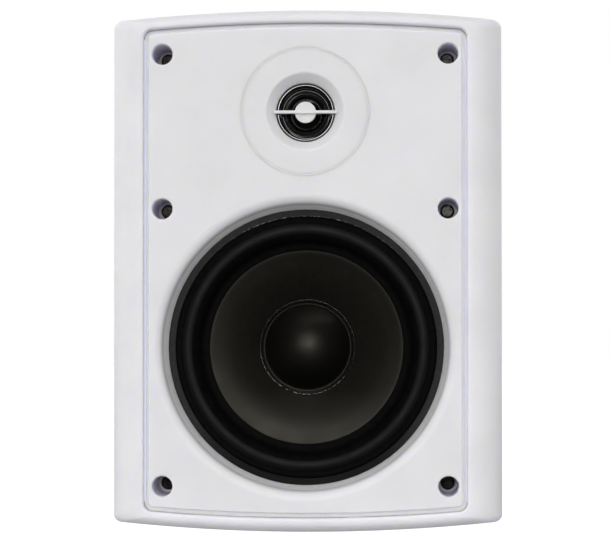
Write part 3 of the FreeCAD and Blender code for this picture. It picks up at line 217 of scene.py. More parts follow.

# %% [markdown]
# ## Floor
# A wall speaker hangs from its bracket, so the floor lies a little way below it and catches only
# a soft shadow. The floor glows faintly for the camera, which brings it up to the white of the
# background, while its own pale paint still takes the shadow. The light it bounces onto the
# speaker comes from a painted pool of light, paler near the speaker and darker further out.

# %% Floor
bpy.ops.object.select_all(action="DESELECT")
bpy.ops.mesh.primitive_plane_add(size=12, location=(0, 0, cad_low[2] - 0.06))
floor = bpy.context.active_object
floor.name = "studio_floor"
floor_paint = bpy.data.materials.new("floor_paint")
floor_paint.use_nodes = True
paint = floor_paint.node_tree
paint.nodes.clear()
floor_place = paint.nodes.new("ShaderNodeTexCoord")
floor_reach = paint.nodes.new("ShaderNodeVectorMath")
floor_reach.operation = "LENGTH"
# Painted light: for bounced light the floor is painted paler near the speaker and darker further out.
floor_spread = add_node(paint, "ShaderNodeMapRange", From_Min=0.15, From_Max=0.75)
painted_pool_ramp = paint.nodes.new("ShaderNodeValToRGB")
set_ramp(painted_pool_ramp, [(0.0, (0.72, 0.72, 0.73)), (1.0, (0.26, 0.26, 0.26))])
dull = paint.nodes.new("ShaderNodeBsdfDiffuse")
dark = add_node(paint, "ShaderNodeBsdfDiffuse", Color=(0.02, 0.02, 0.02, 1))
floor_mirror = paint.nodes.new("ShaderNodeMixShader")
pale = add_node(paint, "ShaderNodeBsdfDiffuse", Color=(0.80, 0.80, 0.80, 1))
glow = add_node(paint, "ShaderNodeEmission", Strength=0.62)
floor_seen = paint.nodes.new("ShaderNodeAddShader")
floor_rays = paint.nodes.new("ShaderNodeLightPath")
either = paint.nodes.new("ShaderNodeMath")
either.operation = "MAXIMUM"
floor_pick = paint.nodes.new("ShaderNodeMixShader")
floor_output = paint.nodes.new("ShaderNodeOutputMaterial")
for source, target in [
    (floor_place.outputs["Object"], floor_reach.inputs[0]),
    (floor_reach.outputs["Value"], floor_spread.inputs["Value"]),
    (floor_spread.outputs["Result"], painted_pool_ramp.inputs["Fac"]),
    (painted_pool_ramp.outputs["Color"], dull.inputs["Color"]),
    (pale.outputs[0], floor_seen.inputs[0]),
    (glow.outputs[0], floor_seen.inputs[1]),
    (floor_rays.outputs["Is Camera Ray"], either.inputs[0]),
    (floor_rays.outputs["Is Transmission Ray"], either.inputs[1]),
    (either.outputs[0], floor_pick.inputs["Fac"]),
    (floor_rays.outputs["Is Glossy Ray"], floor_mirror.inputs["Fac"]),
    (dull.outputs[0], floor_mirror.inputs[1]),
    (dark.outputs[0], floor_mirror.inputs[2]),
    (floor_mirror.outputs[0], floor_pick.inputs[1]),
    (floor_seen.outputs[0], floor_pick.inputs[2]),
    (floor_pick.outputs[0], floor_output.inputs["Surface"]),
]:
    paint.links.new(source, target)
floor.data.materials.append(floor_paint)
print("floor at", round(floor.location[2], 4))

# %% [markdown]
# ## How the finishes are built
# Each finish is one Principled shader. What is the same all over sits on the shader's own
# sockets, and what changes from place to place, such as grain, mottling and wear, is linked in
# from noise. The noise reads Object coordinates, so it has the same size on every piece and
# rides with the pieces that move.

# %% Helpers for finishes


def new_finish(name, roughness=0.5, metallic=0.0, specular=0.5):
    """A material with only its constants set."""
    made = bpy.data.materials.new(name)
    made.use_nodes = True
    shader = made.node_tree.nodes["Principled BSDF"]
    shader.inputs["Roughness"].default_value = roughness
    shader.inputs["Metallic"].default_value = metallic
    shader.inputs["Specular IOR Level"].default_value = specular
    return made


def shader_of(made):
    return made.node_tree.nodes["Principled BSDF"]


def grain(made, scale, detail=3.0, stretch=(1, 1, 1), distortion=0.0):
    """Noise with about scale lumps to a metre."""
    tree = made.node_tree
    place = tree.nodes.new("ShaderNodeTexCoord")
    stretched = add_node(tree, "ShaderNodeMapping", Scale=stretch)
    noise = add_node(tree, "ShaderNodeTexNoise", Scale=scale, Detail=detail, Distortion=distortion)
    tree.links.new(place.outputs["Object"], stretched.inputs["Vector"])
    tree.links.new(stretched.outputs["Vector"], noise.inputs["Vector"])
    return noise.outputs["Fac"]


def bands(made, scale, axis):
    """Even stripes across one axis, about scale to a metre."""
    tree = made.node_tree
    place = tree.nodes.new("ShaderNodeTexCoord")
    wave = add_node(tree, "ShaderNodeTexWave", Scale=scale * math.pi / 10)
    wave.bands_direction = axis
    tree.links.new(place.outputs["Object"], wave.inputs["Vector"])
    return wave.outputs["Fac"]


def radius_from(made, axis):
    """The distance from a driver's axis, in metres."""
    tree = made.node_tree
    place = tree.nodes.new("ShaderNodeTexCoord")
    centred = tree.nodes.new("ShaderNodeVectorMath")
    centred.operation = "SUBTRACT"
    centred.inputs[1].default_value = (axis[0], 0, axis[1])
    flat = tree.nodes.new("ShaderNodeVectorMath")
    flat.operation = "MULTIPLY"
    flat.inputs[1].default_value = (1, 0, 1)
    length = tree.nodes.new("ShaderNodeVectorMath")
    length.operation = "LENGTH"
    tree.links.new(place.outputs["Object"], centred.inputs[0])
    tree.links.new(centred.outputs["Vector"], flat.inputs[0])
    tree.links.new(flat.outputs["Vector"], length.inputs[0])
    return length.outputs["Value"]


def beyond(made, axis, start):
    """How far a point lies past a place along X, Y or Z, in metres."""
    tree = made.node_tree
    place = tree.nodes.new("ShaderNodeTexCoord")
    parted = tree.nodes.new("ShaderNodeSeparateXYZ")
    past = tree.nodes.new("ShaderNodeMath")
    past.operation = "SUBTRACT"
    past.inputs[1].default_value = start
    tree.links.new(place.outputs["Object"], parted.inputs[0])
    tree.links.new(parted.outputs[axis], past.inputs[0])
    return past.outputs[0]


def spread(made, pattern, low, high, start=0.3, end=0.7):
    """Turn a pattern into numbers between low and high."""
    tree = made.node_tree
    ranged = add_node(tree, "ShaderNodeMapRange", From_Min=start, From_Max=end, To_Min=low, To_Max=high)
    tree.links.new(pattern, ranged.inputs["Value"])
    return ranged.outputs["Result"]


def times(made, first, second):
    """The product of two patterns."""
    tree = made.node_tree
    product = tree.nodes.new("ShaderNodeMath")
    product.operation = "MULTIPLY"
    tree.links.new(first, product.inputs[0])
    tree.links.new(second, product.inputs[1])
    return product.outputs[0]


def tint(made, pattern, stops):
    """Colour a finish along a pattern."""
    tree = made.node_tree
    ramp = tree.nodes.new("ShaderNodeValToRGB")
    set_ramp(ramp, stops)
    tree.links.new(pattern, ramp.inputs["Fac"])
    tree.links.new(ramp.outputs["Color"], shader_of(made).inputs["Base Color"])


def tint_over(made, mask, colour):
    """Lay one more colour over a finish where mask is 1."""
    tree = made.node_tree
    socket = shader_of(made).inputs["Base Color"]
    mix = tree.nodes.new("ShaderNodeMix")
    mix.data_type = "RGBA"
    mix.inputs["B"].default_value = (*colour, 1)
    tree.links.new(socket.links[0].from_socket, mix.inputs["A"])
    tree.links.new(mask, mix.inputs["Factor"])
    tree.links.new(mix.outputs["Result"], socket)


def roughen(made, pattern, low, high):
    """Let the gloss change from place to place."""
    made.node_tree.links.new(spread(made, pattern, low, high), shader_of(made).inputs["Roughness"])


def relief(made, pattern, height_mm, strength=1.0):
    """Raise a pattern from the surface, on top of any relief that is there."""
    tree = made.node_tree
    bump = add_node(tree, "ShaderNodeBump", Strength=strength, Distance=height_mm / 1000)
    socket = shader_of(made).inputs["Normal"]
    tree.links.new(pattern, bump.inputs["Height"])
    if socket.is_linked:
        tree.links.new(socket.links[0].from_socket, bump.inputs["Normal"])
    tree.links.new(bump.outputs["Normal"], socket)


def dress(made, *nodes):
    """Put a finish on CAD nodes."""
    for node in nodes:
        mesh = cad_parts[node].data
        mesh.materials.clear()
        mesh.materials.append(made)
    print(made.name, "on", ", ".join(nodes))


# %% [markdown]
# ## White moulded plastic
# The cabinet, the baffle and the tweeter's plate are injection moulded, with a faint spark
# texture from the mould. Up close it is a satin surface that mottles slightly where the plastic
# flowed. The three pieces come from three moulds, so each gets its own slight shade and gloss.

# %% White plastics


def white_plastic(name, shade, gloss, texture_mm):
    made = new_finish(name, specular=0.42)
    shader_of(made).inputs["Subsurface Weight"].default_value = 1.0
    shader_of(made).inputs["Subsurface Radius"].default_value = (0.85, 0.85, 1.2)
    shader_of(made).inputs["Subsurface Scale"].default_value = 0.0025
    darker, lighter = [v * 0.965 for v in shade], [min(1, v * 1.022) for v in shade]
    tint(made, grain(made, 38, detail=5), [(0.30, darker), (0.52, shade), (0.72, lighter)])
    roughen(made, grain(made, 420), gloss - 0.05, gloss + 0.06)
    relief(made, grain(made, 2600, detail=2), texture_mm)
    relief(made, grain(made, 120, detail=1), texture_mm * 2.5)
    return made


cabinet_white = white_plastic("cabinet_white", (0.800, 0.795, 0.805), 0.46, 0.010)
baffle_white = white_plastic("baffle_white", (0.775, 0.773, 0.778), 0.50, 0.012)
plate_white = white_plastic("plate_white", (0.755, 0.752, 0.757), 0.44, 0.006)
dress(cabinet_white, "cabinet_shell")
dress(baffle_white, "front_baffle")
dress(plate_white, "tweeter_faceplate")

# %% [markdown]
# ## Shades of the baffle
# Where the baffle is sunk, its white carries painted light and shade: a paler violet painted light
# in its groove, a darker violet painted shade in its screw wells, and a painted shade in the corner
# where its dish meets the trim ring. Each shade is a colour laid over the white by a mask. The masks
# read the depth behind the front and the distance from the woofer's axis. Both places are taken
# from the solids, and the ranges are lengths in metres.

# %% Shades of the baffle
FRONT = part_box("front_baffle")[0][1]


def axis_of(node):
    """The middle of a round node, seen from the front, as x and z."""
    low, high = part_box(node)
    return (low[0] + high[0]) / 2, (low[2] + high[2]) / 2


WOOFER = axis_of("woofer_magnet")
TWEETER = axis_of("tweeter_magnet")
print("woofer axis", [round(v, 4) for v in WOOFER], "tweeter axis", [round(v, 4) for v in TWEETER])

GROOVE_PAINTED_LIGHT, WELL_SHADE, DISH_CORNER_PAINTED_SHADE = (0.86, 0.87, 0.99), (0.69, 0.665, 0.765), (0.10, 0.10, 0.10)
# Painted light: where the baffle is sunk in its groove, it is painted a paler, violet white.
sunk = spread(baffle_white, beyond(baffle_white, "Y", FRONT), 0, 1, 0.0008, 0.0022)
in_well = spread(baffle_white, beyond(baffle_white, "Y", FRONT), 0, 1, 0.0027, 0.0045)
clear_of_dish = spread(baffle_white, radius_from(baffle_white, WOOFER), 0, 1, 0.0770, 0.0775)
# Painted shade: the dish wall next to the trim ring is painted darker towards the ring.
dish_corner_shade_mask = spread(baffle_white, radius_from(baffle_white, WOOFER), 0.36, 0, 0.0716, 0.0731)
tint_over(baffle_white, times(baffle_white, sunk, clear_of_dish), GROOVE_PAINTED_LIGHT)
# Painted shade: deeper in the screw wells the white is painted a darker violet.
tint_over(baffle_white, times(baffle_white, in_well, clear_of_dish), WELL_SHADE)
tint_over(baffle_white, dish_corner_shade_mask, DISH_CORNER_PAINTED_SHADE)

# %% [markdown]
# ## Dark finishes of the drivers
# Black is where a speaker is easily made dull. The rubber, the coated paper and the lacquered
# cloth all have nearly the same dark colour, and are told apart by their gloss: rubber is satin,
# paper is broken up by its fibres, and the tweeter's pieces are as bright as lacquer. The lowest
# part of the cone is painted paler as painted light, and towards the rim it is painted blacker as
# painted shade.

# %% Dark finishes


def rubber(name, specular, dark, pale, gloss):
    made = new_finish(name, specular=specular)
    tint(made, grain(made, 300, detail=4), [(0.3, dark), (0.7, pale)])
    roughen(made, grain(made, 160, detail=4), *gloss)
    relief(made, grain(made, 3200, detail=2), 0.003)
    return made


roll_rubber = rubber("roll_rubber", 0.30, (0.0006, 0.0006, 0.0006), (0.0015, 0.0014, 0.0013), (0.46, 0.53))
flank_rubber = rubber("flank_rubber", 0.08, (0.0012, 0.0012, 0.0012), (0.0030, 0.0028, 0.0026), (0.55, 0.65))

WARM_GLOSS = (1.0, 0.95, 0.82, 1)
cone_paper = new_finish("cone_paper", specular=0.27)
shader_of(cone_paper).inputs["Specular Tint"].default_value = WARM_GLOSS
fibres = grain(cone_paper, 700, detail=8, distortion=1.2)
tint(cone_paper, fibres, [(0.30, (0.0034, 0.0032, 0.0026)), (0.70, (0.0080, 0.0073, 0.0058))])
# Painted light: the paper is painted paler towards the bottom of the cone.
cone_lower_painted_light = spread(cone_paper, beyond(cone_paper, "Z", WOOFER[1]), 1, 0, -0.040, -0.022)
tint_over(cone_paper, cone_lower_painted_light, (0.0150, 0.0140, 0.0118))
# Painted shade: towards the rim the paper is painted blacker.
cone_rim_painted_shade = spread(cone_paper, radius_from(cone_paper, WOOFER), 0, 0.9, 0.0425, 0.0465)
tint_over(cone_paper, cone_rim_painted_shade, (0.0006, 0.0006, 0.0005))
roughen(cone_paper, grain(cone_paper, 90, detail=3), 0.31, 0.37)
relief(cone_paper, fibres, 0.004)

cap_paper = new_finish("cap_paper", specular=0.46)
shader_of(cap_paper).inputs["Specular Tint"].default_value = WARM_GLOSS
cap_fibres = grain(cap_paper, 1100, detail=6, distortion=0.8)
tint(cap_paper, cap_fibres, [(0.30, (0.0003, 0.0003, 0.0002)), (0.70, (0.0009, 0.0008, 0.0007))])
roughen(cap_paper, grain(cap_paper, 240, detail=3), 0.36, 0.41)
relief(cap_paper, cap_fibres, 0.004)

glue_black = new_finish("glue_black", roughness=0.12, specular=1.0)
tint(glue_black, grain(glue_black, 900), [(0.3, (0.004, 0.004, 0.004)), (0.7, (0.014, 0.013, 0.012))])
relief(glue_black, grain(glue_black, 1800, detail=1), 0.05)

HARD_GLOSS = 1.9
lacquer_black = new_finish("lacquer_black", specular=1.0)
shader_of(lacquer_black).inputs["IOR"].default_value = HARD_GLOSS
tint(lacquer_black, grain(lacquer_black, 500),
     [(0.3, (0.0010, 0.0010, 0.0009)), (0.7, (0.0020, 0.0019, 0.0017))])
roughen(lacquer_black, grain(lacquer_black, 260), 0.08, 0.14)


def lacquered_cloth(name, specular, dark, pale, gloss, relief_mm):
    made = new_finish(name, specular=specular)
    weave = times(made, bands(made, 3600, "X"), bands(made, 3600, "Z"))
    tint(made, weave, [(0.1, dark), (0.9, pale)])
    roughen(made, grain(made, 700), *gloss)
    relief(made, weave, relief_mm)
    return made


dome_silk = lacquered_cloth("dome_silk", 1.0, (0.0008, 0.0008, 0.0007), (0.0020, 0.0019, 0.0017),
                            (0.09, 0.14), 0.002)
edge_cloth = lacquered_cloth("edge_cloth", 0.8, (0.0006, 0.0006, 0.0006), (0.0014, 0.0013, 0.0012),
                             (0.14, 0.20), 0.004)
print("dark finishes ready:", roll_rubber.name, cone_paper.name, lacquer_black.name)

# %% [markdown]
# ## Trim ring
# A grey pressed-fibre ring lies between the woofer's frame and the baffle. Handling has worn its
# inner edge, which shows as a few pale threads at the top. The wear is a mask that is 1 only
# near the inner radius and high above the axis, broken up by noise. Towards the bottom the ring's
# colour is darker.

# %% Trim ring finish
ring_fibre = new_finish("ring_fibre", specular=0.25)
ring_grain = grain(ring_fibre, 900, detail=6)
tint(ring_fibre, ring_grain, [(0.3, (0.019, 0.019, 0.019)), (0.7, (0.032, 0.032, 0.031))])
roughen(ring_fibre, grain(ring_fibre, 300), 0.70, 0.85)
relief(ring_fibre, ring_grain, 0.05)
# Towards the bottom the ring's colour is made darker.
ring_darker_below = spread(ring_fibre, beyond(ring_fibre, "Z", WOOFER[1]), 0.85, 0, -0.058, -0.035)
tint_over(ring_fibre, ring_darker_below, (0.004, 0.004, 0.004))
near_edge = spread(ring_fibre, radius_from(ring_fibre, WOOFER), 1, 0, 0.0661, 0.0666)
torn = spread(ring_fibre, grain(ring_fibre, 520, detail=5), 0, 1, 0.50, 0.62)
at_top = spread(ring_fibre, beyond(ring_fibre, "Z", WOOFER[1]), 0, 1, 0.045, 0.062)
worn = times(ring_fibre, times(ring_fibre, near_edge, torn), at_top)
tint_over(ring_fibre, worn, (0.30, 0.29, 0.27))
print("trim ring finish has", len(ring_fibre.node_tree.nodes), "nodes")

# %% [markdown]
# ## Plain finishes behind the front
# Steel, ferrite, copper, board and wire are mostly hidden, but they come into view when the part
# is taken apart. They share one recipe: a mottled colour, uneven gloss and a fine relief, with
# the numbers listed for each.

# %% Finishes of the inner pieces


def mottled(name, low, high, lumps, gloss, relief_mm, metallic=0.0, specular=0.5, stretch=(1, 1, 1)):
    made = new_finish(name, metallic=metallic, specular=specular)
    pattern = grain(made, lumps, detail=5, stretch=stretch)
    tint(made, pattern, [(0.3, low), (0.7, high)])
    roughen(made, grain(made, lumps * 0.4), gloss - 0.06, gloss + 0.06)
    relief(made, pattern, relief_mm)
    return made


screw_oxide = mottled("screw_oxide", (0.009, 0.008, 0.008), (0.038, 0.035, 0.033), 700, 0.26, 0.012, 0.95)
zinc_plate = mottled("zinc_plate", (0.46, 0.46, 0.45), (0.62, 0.62, 0.59), 260, 0.36, 0.008, 1.0)
turned_brass = mottled("turned_brass", (0.58, 0.40, 0.15), (0.74, 0.54, 0.24), 900, 0.30, 0.006, 1.0,
                       stretch=(1, 1, 6))
frame_enamel = mottled("frame_enamel", (0.010, 0.010, 0.010), (0.020, 0.020, 0.020), 500, 0.42, 0.012)
former_paper = mottled("former_paper", (0.20, 0.11, 0.045), (0.32, 0.19, 0.085), 800, 0.78, 0.02)
ground_ferrite = mottled("ground_ferrite", (0.020, 0.020, 0.021), (0.045, 0.045, 0.047), 600, 0.62, 0.02)
tag_fibre = mottled("tag_fibre", (0.085, 0.035, 0.012), (0.16, 0.075, 0.030), 700, 0.66, 0.02)
board_lacquer = mottled("board_lacquer", (0.15, 0.080, 0.022), (0.24, 0.135, 0.045), 450, 0.34, 0.012)
sleeve_blue = mottled("sleeve_blue", (0.006, 0.014, 0.075), (0.012, 0.028, 0.13), 350, 0.24, 0.006)
resistor_cement = mottled("resistor_cement", (0.60, 0.58, 0.52), (0.74, 0.73, 0.68), 900, 0.86, 0.05)
terminal_black = mottled("terminal_black", (0.010, 0.010, 0.011), (0.019, 0.019, 0.020), 1600, 0.48, 0.014)
lever_red = mottled("lever_red", (0.36, 0.008, 0.008), (0.47, 0.014, 0.012), 420, 0.30, 0.005)
wire_red = mottled("wire_red", (0.30, 0.008, 0.008), (0.42, 0.014, 0.012), 500, 0.42, 0.008)
wire_black = mottled("wire_black", (0.007, 0.007, 0.007), (0.015, 0.015, 0.015), 500, 0.42, 0.008)
seal_foam = mottled("seal_foam", (0.008, 0.008, 0.008), (0.030, 0.030, 0.030), 1500, 0.90, 0.12, specular=0.2)

dress(screw_oxide, "baffle_screws", "tweeter_plate_screws", "tweeter_motor_screws", "terminal_cup_screws")
dress(zinc_plate, "woofer_screws", "woofer_top_plate", "woofer_back_plate", "woofer_tags",
      "tweeter_top_plate", "tweeter_back_plate", "tweeter_tags", "crossover_screws", "lever_pin")
dress(turned_brass, "yoke_insert_top", "yoke_insert_bottom")
dress(frame_enamel, "woofer_basket")
dress(former_paper, "woofer_coil_former")
dress(ground_ferrite, "woofer_magnet", "tweeter_magnet")
dress(tag_fibre, "woofer_tag_board", "tweeter_tag_board")
dress(board_lacquer, "crossover_board")
dress(sleeve_blue, "capacitor_large", "capacitor_small")
dress(resistor_cement, "resistor_block")
dress(terminal_black, "terminal_cup", "inductor_bobbin", "black_lever", "black_wire_guide")
dress(lever_red, "red_lever", "red_wire_guide")
dress(wire_red, "input_wire_red", "woofer_wire_red", "tweeter_wire_red")
dress(wire_black, "input_wire_black", "woofer_wire_black", "tweeter_wire_black")

# %% [markdown]
# ## Wound copper
# The coils are wound from enamelled wire. The solids are plain rings, so even stripes across the
# winding's axis stand for the turns, in both the colour and the relief.

# %% Copper windings
wound_copper = new_finish("wound_copper", roughness=0.28, metallic=1.0)
turns = bands(wound_copper, 1700, "Y")
tint(wound_copper, turns,
     [(0.05, (0.16, 0.045, 0.018)), (0.45, (0.56, 0.23, 0.095)), (1.0, (0.72, 0.33, 0.15))])
relief(wound_copper, turns, 0.18)
dress(wound_copper, "inductor_winding", "woofer_voice_coil", "tweeter_voice_coil")

# %% [markdown]
# ## Turning round pieces
# Most soft pieces of a loudspeaker are round. A circle is drawn at the first stop of the outline
# and then extruded, moved and scaled to each next stop, as one would by hand. A spin would do as
# well, but it leaves a seam, and the rings keep the faces in tidy rows.

# %% Helpers for round pieces
MM = 0.001


def arc(centre, radius, start, end, steps):
    """Stops along an arc; the angle is 0 outwards from the axis and 90 towards the front."""
    stops = []
    for k in range(steps + 1):
        angle = math.radians(start + (end - start) * k / steps)
        stops.append((centre[0] + radius * math.cos(angle), centre[1] - radius * math.sin(angle)))
    return stops


def turned_piece(name, axis, outline, sides=160):
    """Extrude one circle through an outline of (radius, depth behind the baffle) in millimetres."""
    bpy.ops.object.select_all(action="DESELECT")
    radius, depth = outline[0]
    bpy.ops.mesh.primitive_circle_add(vertices=sides, radius=radius * MM, rotation=(math.pi / 2, 0, 0),
                                      location=(axis[0], FRONT + depth * MM, axis[1]))
    piece = bpy.context.active_object
    piece.name = name
    bpy.ops.object.transform_apply(location=True, rotation=True, scale=True)
    bpy.ops.object.mode_set(mode="EDIT")
    bpy.ops.mesh.select_all(action="SELECT")
    for next_radius, next_depth in outline[1:]:
        bpy.ops.mesh.extrude_region_move(TRANSFORM_OT_translate={"value": (0, (next_depth - depth) * MM, 0)})
        grow = next_radius / radius
        bpy.ops.transform.resize(value=(grow, 1, grow),
                                 center_override=(axis[0], FRONT + next_depth * MM, axis[1]))
        radius, depth = next_radius, next_depth
    bpy.ops.mesh.select_all(action="SELECT")
    bpy.ops.mesh.remove_doubles(threshold=2e-6)
    bpy.ops.mesh.normals_make_consistent(inside=False)
    bpy.ops.object.mode_set(mode="OBJECT")
    return piece


def pick(piece):
    """Select one piece alone and make it the active one."""
    bpy.ops.object.select_all(action="DESELECT")
    piece.select_set(True)
    bpy.context.view_layer.objects.active = piece


def smooth(piece, angle=35):
    """Shade the piece smoothly except across sharp edges."""
    pick(piece)
    bpy.ops.object.shade_smooth_by_angle(angle=math.radians(angle))


def apply_modifier(piece, kind, **settings):
    """Add one modifier, set it and apply it."""
    pick(piece)
    modifier = piece.modifiers.new(kind.lower(), kind)
    for key, value in settings.items():
        setattr(modifier, key, value)
    bpy.ops.object.modifier_apply(modifier=modifier.name)


def finish_piece(piece, made, slot, *nodes):
    """Give a finished mesh its material, and let it stand for CAD nodes, which it hides; slot is not used."""
    piece.data.materials.clear()
    piece.data.materials.append(made)
    if nodes:
        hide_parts(*nodes)
    print(piece.name, len(piece.data.polygons), "faces")


def flex_around(piece):
    """Bake a round piece's place into its mesh."""
    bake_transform(piece)


# %% [markdown]
# ## Rubber roll
# The surround is a half roll of rubber that lets the cone move. Its hem is clamped under the trim
# ring and its inner lip is glued on the cone. The outline is a closed section, with a small round
# where the roll meets the lip, because moulded rubber has no sharp inner corner. Its crest has a
# satin shine while its flanks are matt, so the faces take one of two finishes by their radius.

# %% Rubber roll
HEM, ROLL, ROLL_RADIUS, LIP = 69.4, 59.5, 6.4, 48.9
HEM_FRONT, HEM_STOP, SKIN, FILLET = 10.0, 67.5, 0.8, 3.0
LIP_EASE, LIP_FALL, LIP_EDGE = 0.2, 0.45, 0.55
fillet_out = ROLL - math.sqrt((ROLL_RADIUS + FILLET) ** 2 - FILLET ** 2)
fillet_turn = math.degrees(math.asin(FILLET / (ROLL_RADIUS + FILLET)))
roll_outline = [(HEM, HEM_FRONT), (HEM_STOP, HEM_FRONT)]
roll_outline += arc((ROLL, HEM_FRONT), ROLL_RADIUS, 0, 180 - fillet_turn, 40)
roll_outline += arc((fillet_out, HEM_FRONT - FILLET), FILLET, -fillet_turn, -90, 6)[1:]
roll_outline += [(LIP + LIP_EASE, HEM_FRONT + LIP_FALL), (LIP, HEM_FRONT + LIP_EDGE), (LIP, HEM_FRONT + SKIN)]
roll_outline += [(ROLL - ROLL_RADIUS + SKIN, HEM_FRONT + SKIN)]
roll_outline += arc((ROLL, HEM_FRONT), ROLL_RADIUS - SKIN, 180, 0, 32)
roll_outline += [(ROLL + ROLL_RADIUS - SKIN, HEM_FRONT + SKIN), (HEM, HEM_FRONT + SKIN), (HEM, HEM_FRONT)]
rubber_roll = turned_piece("woofer_rubber_roll", WOOFER, roll_outline, sides=192)
smooth(rubber_roll)
finish_piece(rubber_roll, roll_rubber, "black_rubber", "woofer_surround")
CREST_IN, CREST_OUT = 57.0, 62.0
rubber_roll.data.materials.append(flank_rubber)
for face in rubber_roll.data.polygons:
    reach = math.hypot(face.center.x - WOOFER[0], face.center.z - WOOFER[1]) / MM
    face.material_index = 0 if CREST_IN < reach < CREST_OUT else 1
flex_around(rubber_roll)

# %% [markdown]
# ## Paper cone
# The cone is pressed from paper pulp and coated black. Seen from the front it is a shallow curved
# dish. Its outline follows the same arc as the solid, front and back, so its thickness is even.

# %% Paper cone
CONE_RIM, NECK, NECK_BACK, CONE_DEPTH, CONE_CURVE, CONE_SKIN = 53.0, 12.75, 28.3, 14.0, 80.0, 0.8
CONE_FRONT = HEM_FRONT + SKIN
cone_run = LIP - NECK
cone_chord = math.hypot(cone_run, CONE_DEPTH)
cone_sweep = math.sqrt(CONE_CURVE ** 2 - cone_chord ** 2 / 4) / cone_chord
cone_out = (LIP + NECK) / 2 + cone_sweep * CONE_DEPTH
cone_back = CONE_FRONT + CONE_DEPTH / 2 + cone_sweep * cone_run


def cone_depth(radius, curve=CONE_CURVE):
    """How deep the front of the paper lies at a radius."""
    return cone_back - math.sqrt(curve ** 2 - (radius - cone_out) ** 2)


cone_stops = [LIP - (LIP - NECK) * k / 28 for k in range(29)]
cone_outline = [(CONE_RIM, CONE_FRONT)] + [(r, cone_depth(r)) for r in cone_stops]
cone_outline += [(NECK, NECK_BACK), (NECK + CONE_SKIN, NECK_BACK)]
cone_outline += [(r, cone_depth(r, CONE_CURVE - CONE_SKIN)) for r in reversed(cone_stops[:-1])]
cone_outline += [(CONE_RIM, CONE_FRONT + CONE_SKIN), (CONE_RIM, CONE_FRONT)]
paper_cone = turned_piece("woofer_paper_cone", WOOFER, cone_outline)
smooth(paper_cone)
finish_piece(paper_cone, cone_paper, "black_paper", "woofer_cone")
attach(paper_cone, "woofer_moving")

# %% [markdown]
# ## Dust cap
# The cap keeps dust out of the coil. It is a pressed dome with a flat flange glued on the cone and
# a thin raised fold where the dome starts. The front is turned as one sheet from the rim to the
# tip, and the Solidify modifier then gives it its thickness.

# %% Dust cap
CAP, CAP_DOME, CAP_RISE, CAP_SKIN = 24.0, 21.3, 8.0, 0.55
DOME_LIFT, FLANGE_LIFT, FLANGE_EDGE = 0.63, 0.62, 0.25
cap_foot = cone_depth(CAP_DOME) - DOME_LIFT
cap_curve = (CAP_DOME ** 2 + CAP_RISE ** 2) / (2 * CAP_RISE)
cap_tilt = math.degrees(math.asin(CAP_DOME / cap_curve))
flange = [(r, cone_depth(r) - FLANGE_LIFT) for r in (CAP, 23.4, 22.8, 22.3)]
fold = [(22.0, flange[-1][1] - 0.02)]
fold += [(r, cap_foot - rise) for r, rise in ((21.8, 0.28), (21.6, 0.36), (21.42, 0.26))]
dome = arc((0, cap_foot - CAP_RISE + cap_curve), cap_curve, 90 - cap_tilt, 90, 30)
cap_outline = [(CAP, flange[0][1] + FLANGE_EDGE)] + flange + fold + dome[:-1] + [(0.0, dome[-1][1])]
dust_cap = turned_piece("woofer_dust_cap_dome", WOOFER, cap_outline)
print("dust cap faces the front:", dust_cap.data.polygons[-1].normal.y < 0)
apply_modifier(dust_cap, "SOLIDIFY", thickness=CAP_SKIN * MM, offset=-1)
smooth(dust_cap, 50)
finish_piece(dust_cap, cap_paper, "black_paper", "woofer_dust_cap")
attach(dust_cap, "woofer_moving")

# %% [markdown]
# ## Glue around the cap
# The cap is held by a bead of glue that was run around it by hand, so it is uneven, and its wet
# look glints along the lower half. A thin torus gives the bead. The Displace modifier, driven by
# a cloud texture, swells it into lumps, mostly where a vertex group marks the thick run of glue
# at the bottom.

# %% Glue bead
GLUE_REACH, GLUE_RADIUS, GLUE_LIFT = CAP + 0.15, 0.16, 0.10
RUN_MIDDLE, RUN_SPAN, RUN_FADE, THIN_RUN = 255, 70, 20, 0.06
glue_depth = FRONT + (cone_depth(GLUE_REACH) - GLUE_LIFT) * MM
bpy.ops.object.select_all(action="DESELECT")
bpy.ops.mesh.primitive_torus_add(major_segments=360, minor_segments=12, major_radius=GLUE_REACH * MM,
                                 minor_radius=GLUE_RADIUS * MM, rotation=(math.pi / 2, 0, 0),
                                 location=(WOOFER[0], glue_depth, WOOFER[1]))
glue_bead = bpy.context.active_object
glue_bead.name = "woofer_cap_glue"
bpy.ops.object.transform_apply(location=True, rotation=True, scale=True)
thick_run = glue_bead.vertex_groups.new(name="thick_run")
for v in glue_bead.data.vertices:
    turn = math.degrees(math.atan2(v.co.z - WOOFER[1], v.co.x - WOOFER[0])) % 360
    share = (RUN_SPAN - abs(turn - RUN_MIDDLE)) / RUN_FADE
    thick_run.add([v.index], max(THIN_RUN, min(1.0, share)), "REPLACE")
clouds = bpy.data.textures.new("glue_lumps", "CLOUDS")
clouds.noise_scale = 0.0012
clouds.noise_depth = 2
apply_modifier(glue_bead, "DISPLACE", texture=clouds, strength=1.5 * MM, mid_level=0.20,
               vertex_group="thick_run")
smooth(glue_bead, 60)
finish_piece(glue_bead, glue_black, "gloss_black")
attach(glue_bead, "woofer_moving")

# %% [markdown]
# ## Pieces cut from sheet
# The trim ring is die cut, so its edges are only slightly eased. It keeps the solid's outline with
# its four screw ears: a merged copy of the solid gets a narrow bevel along its sharp edges. The two
# foam strips are cut the same way.

# %% Eased copies of solids


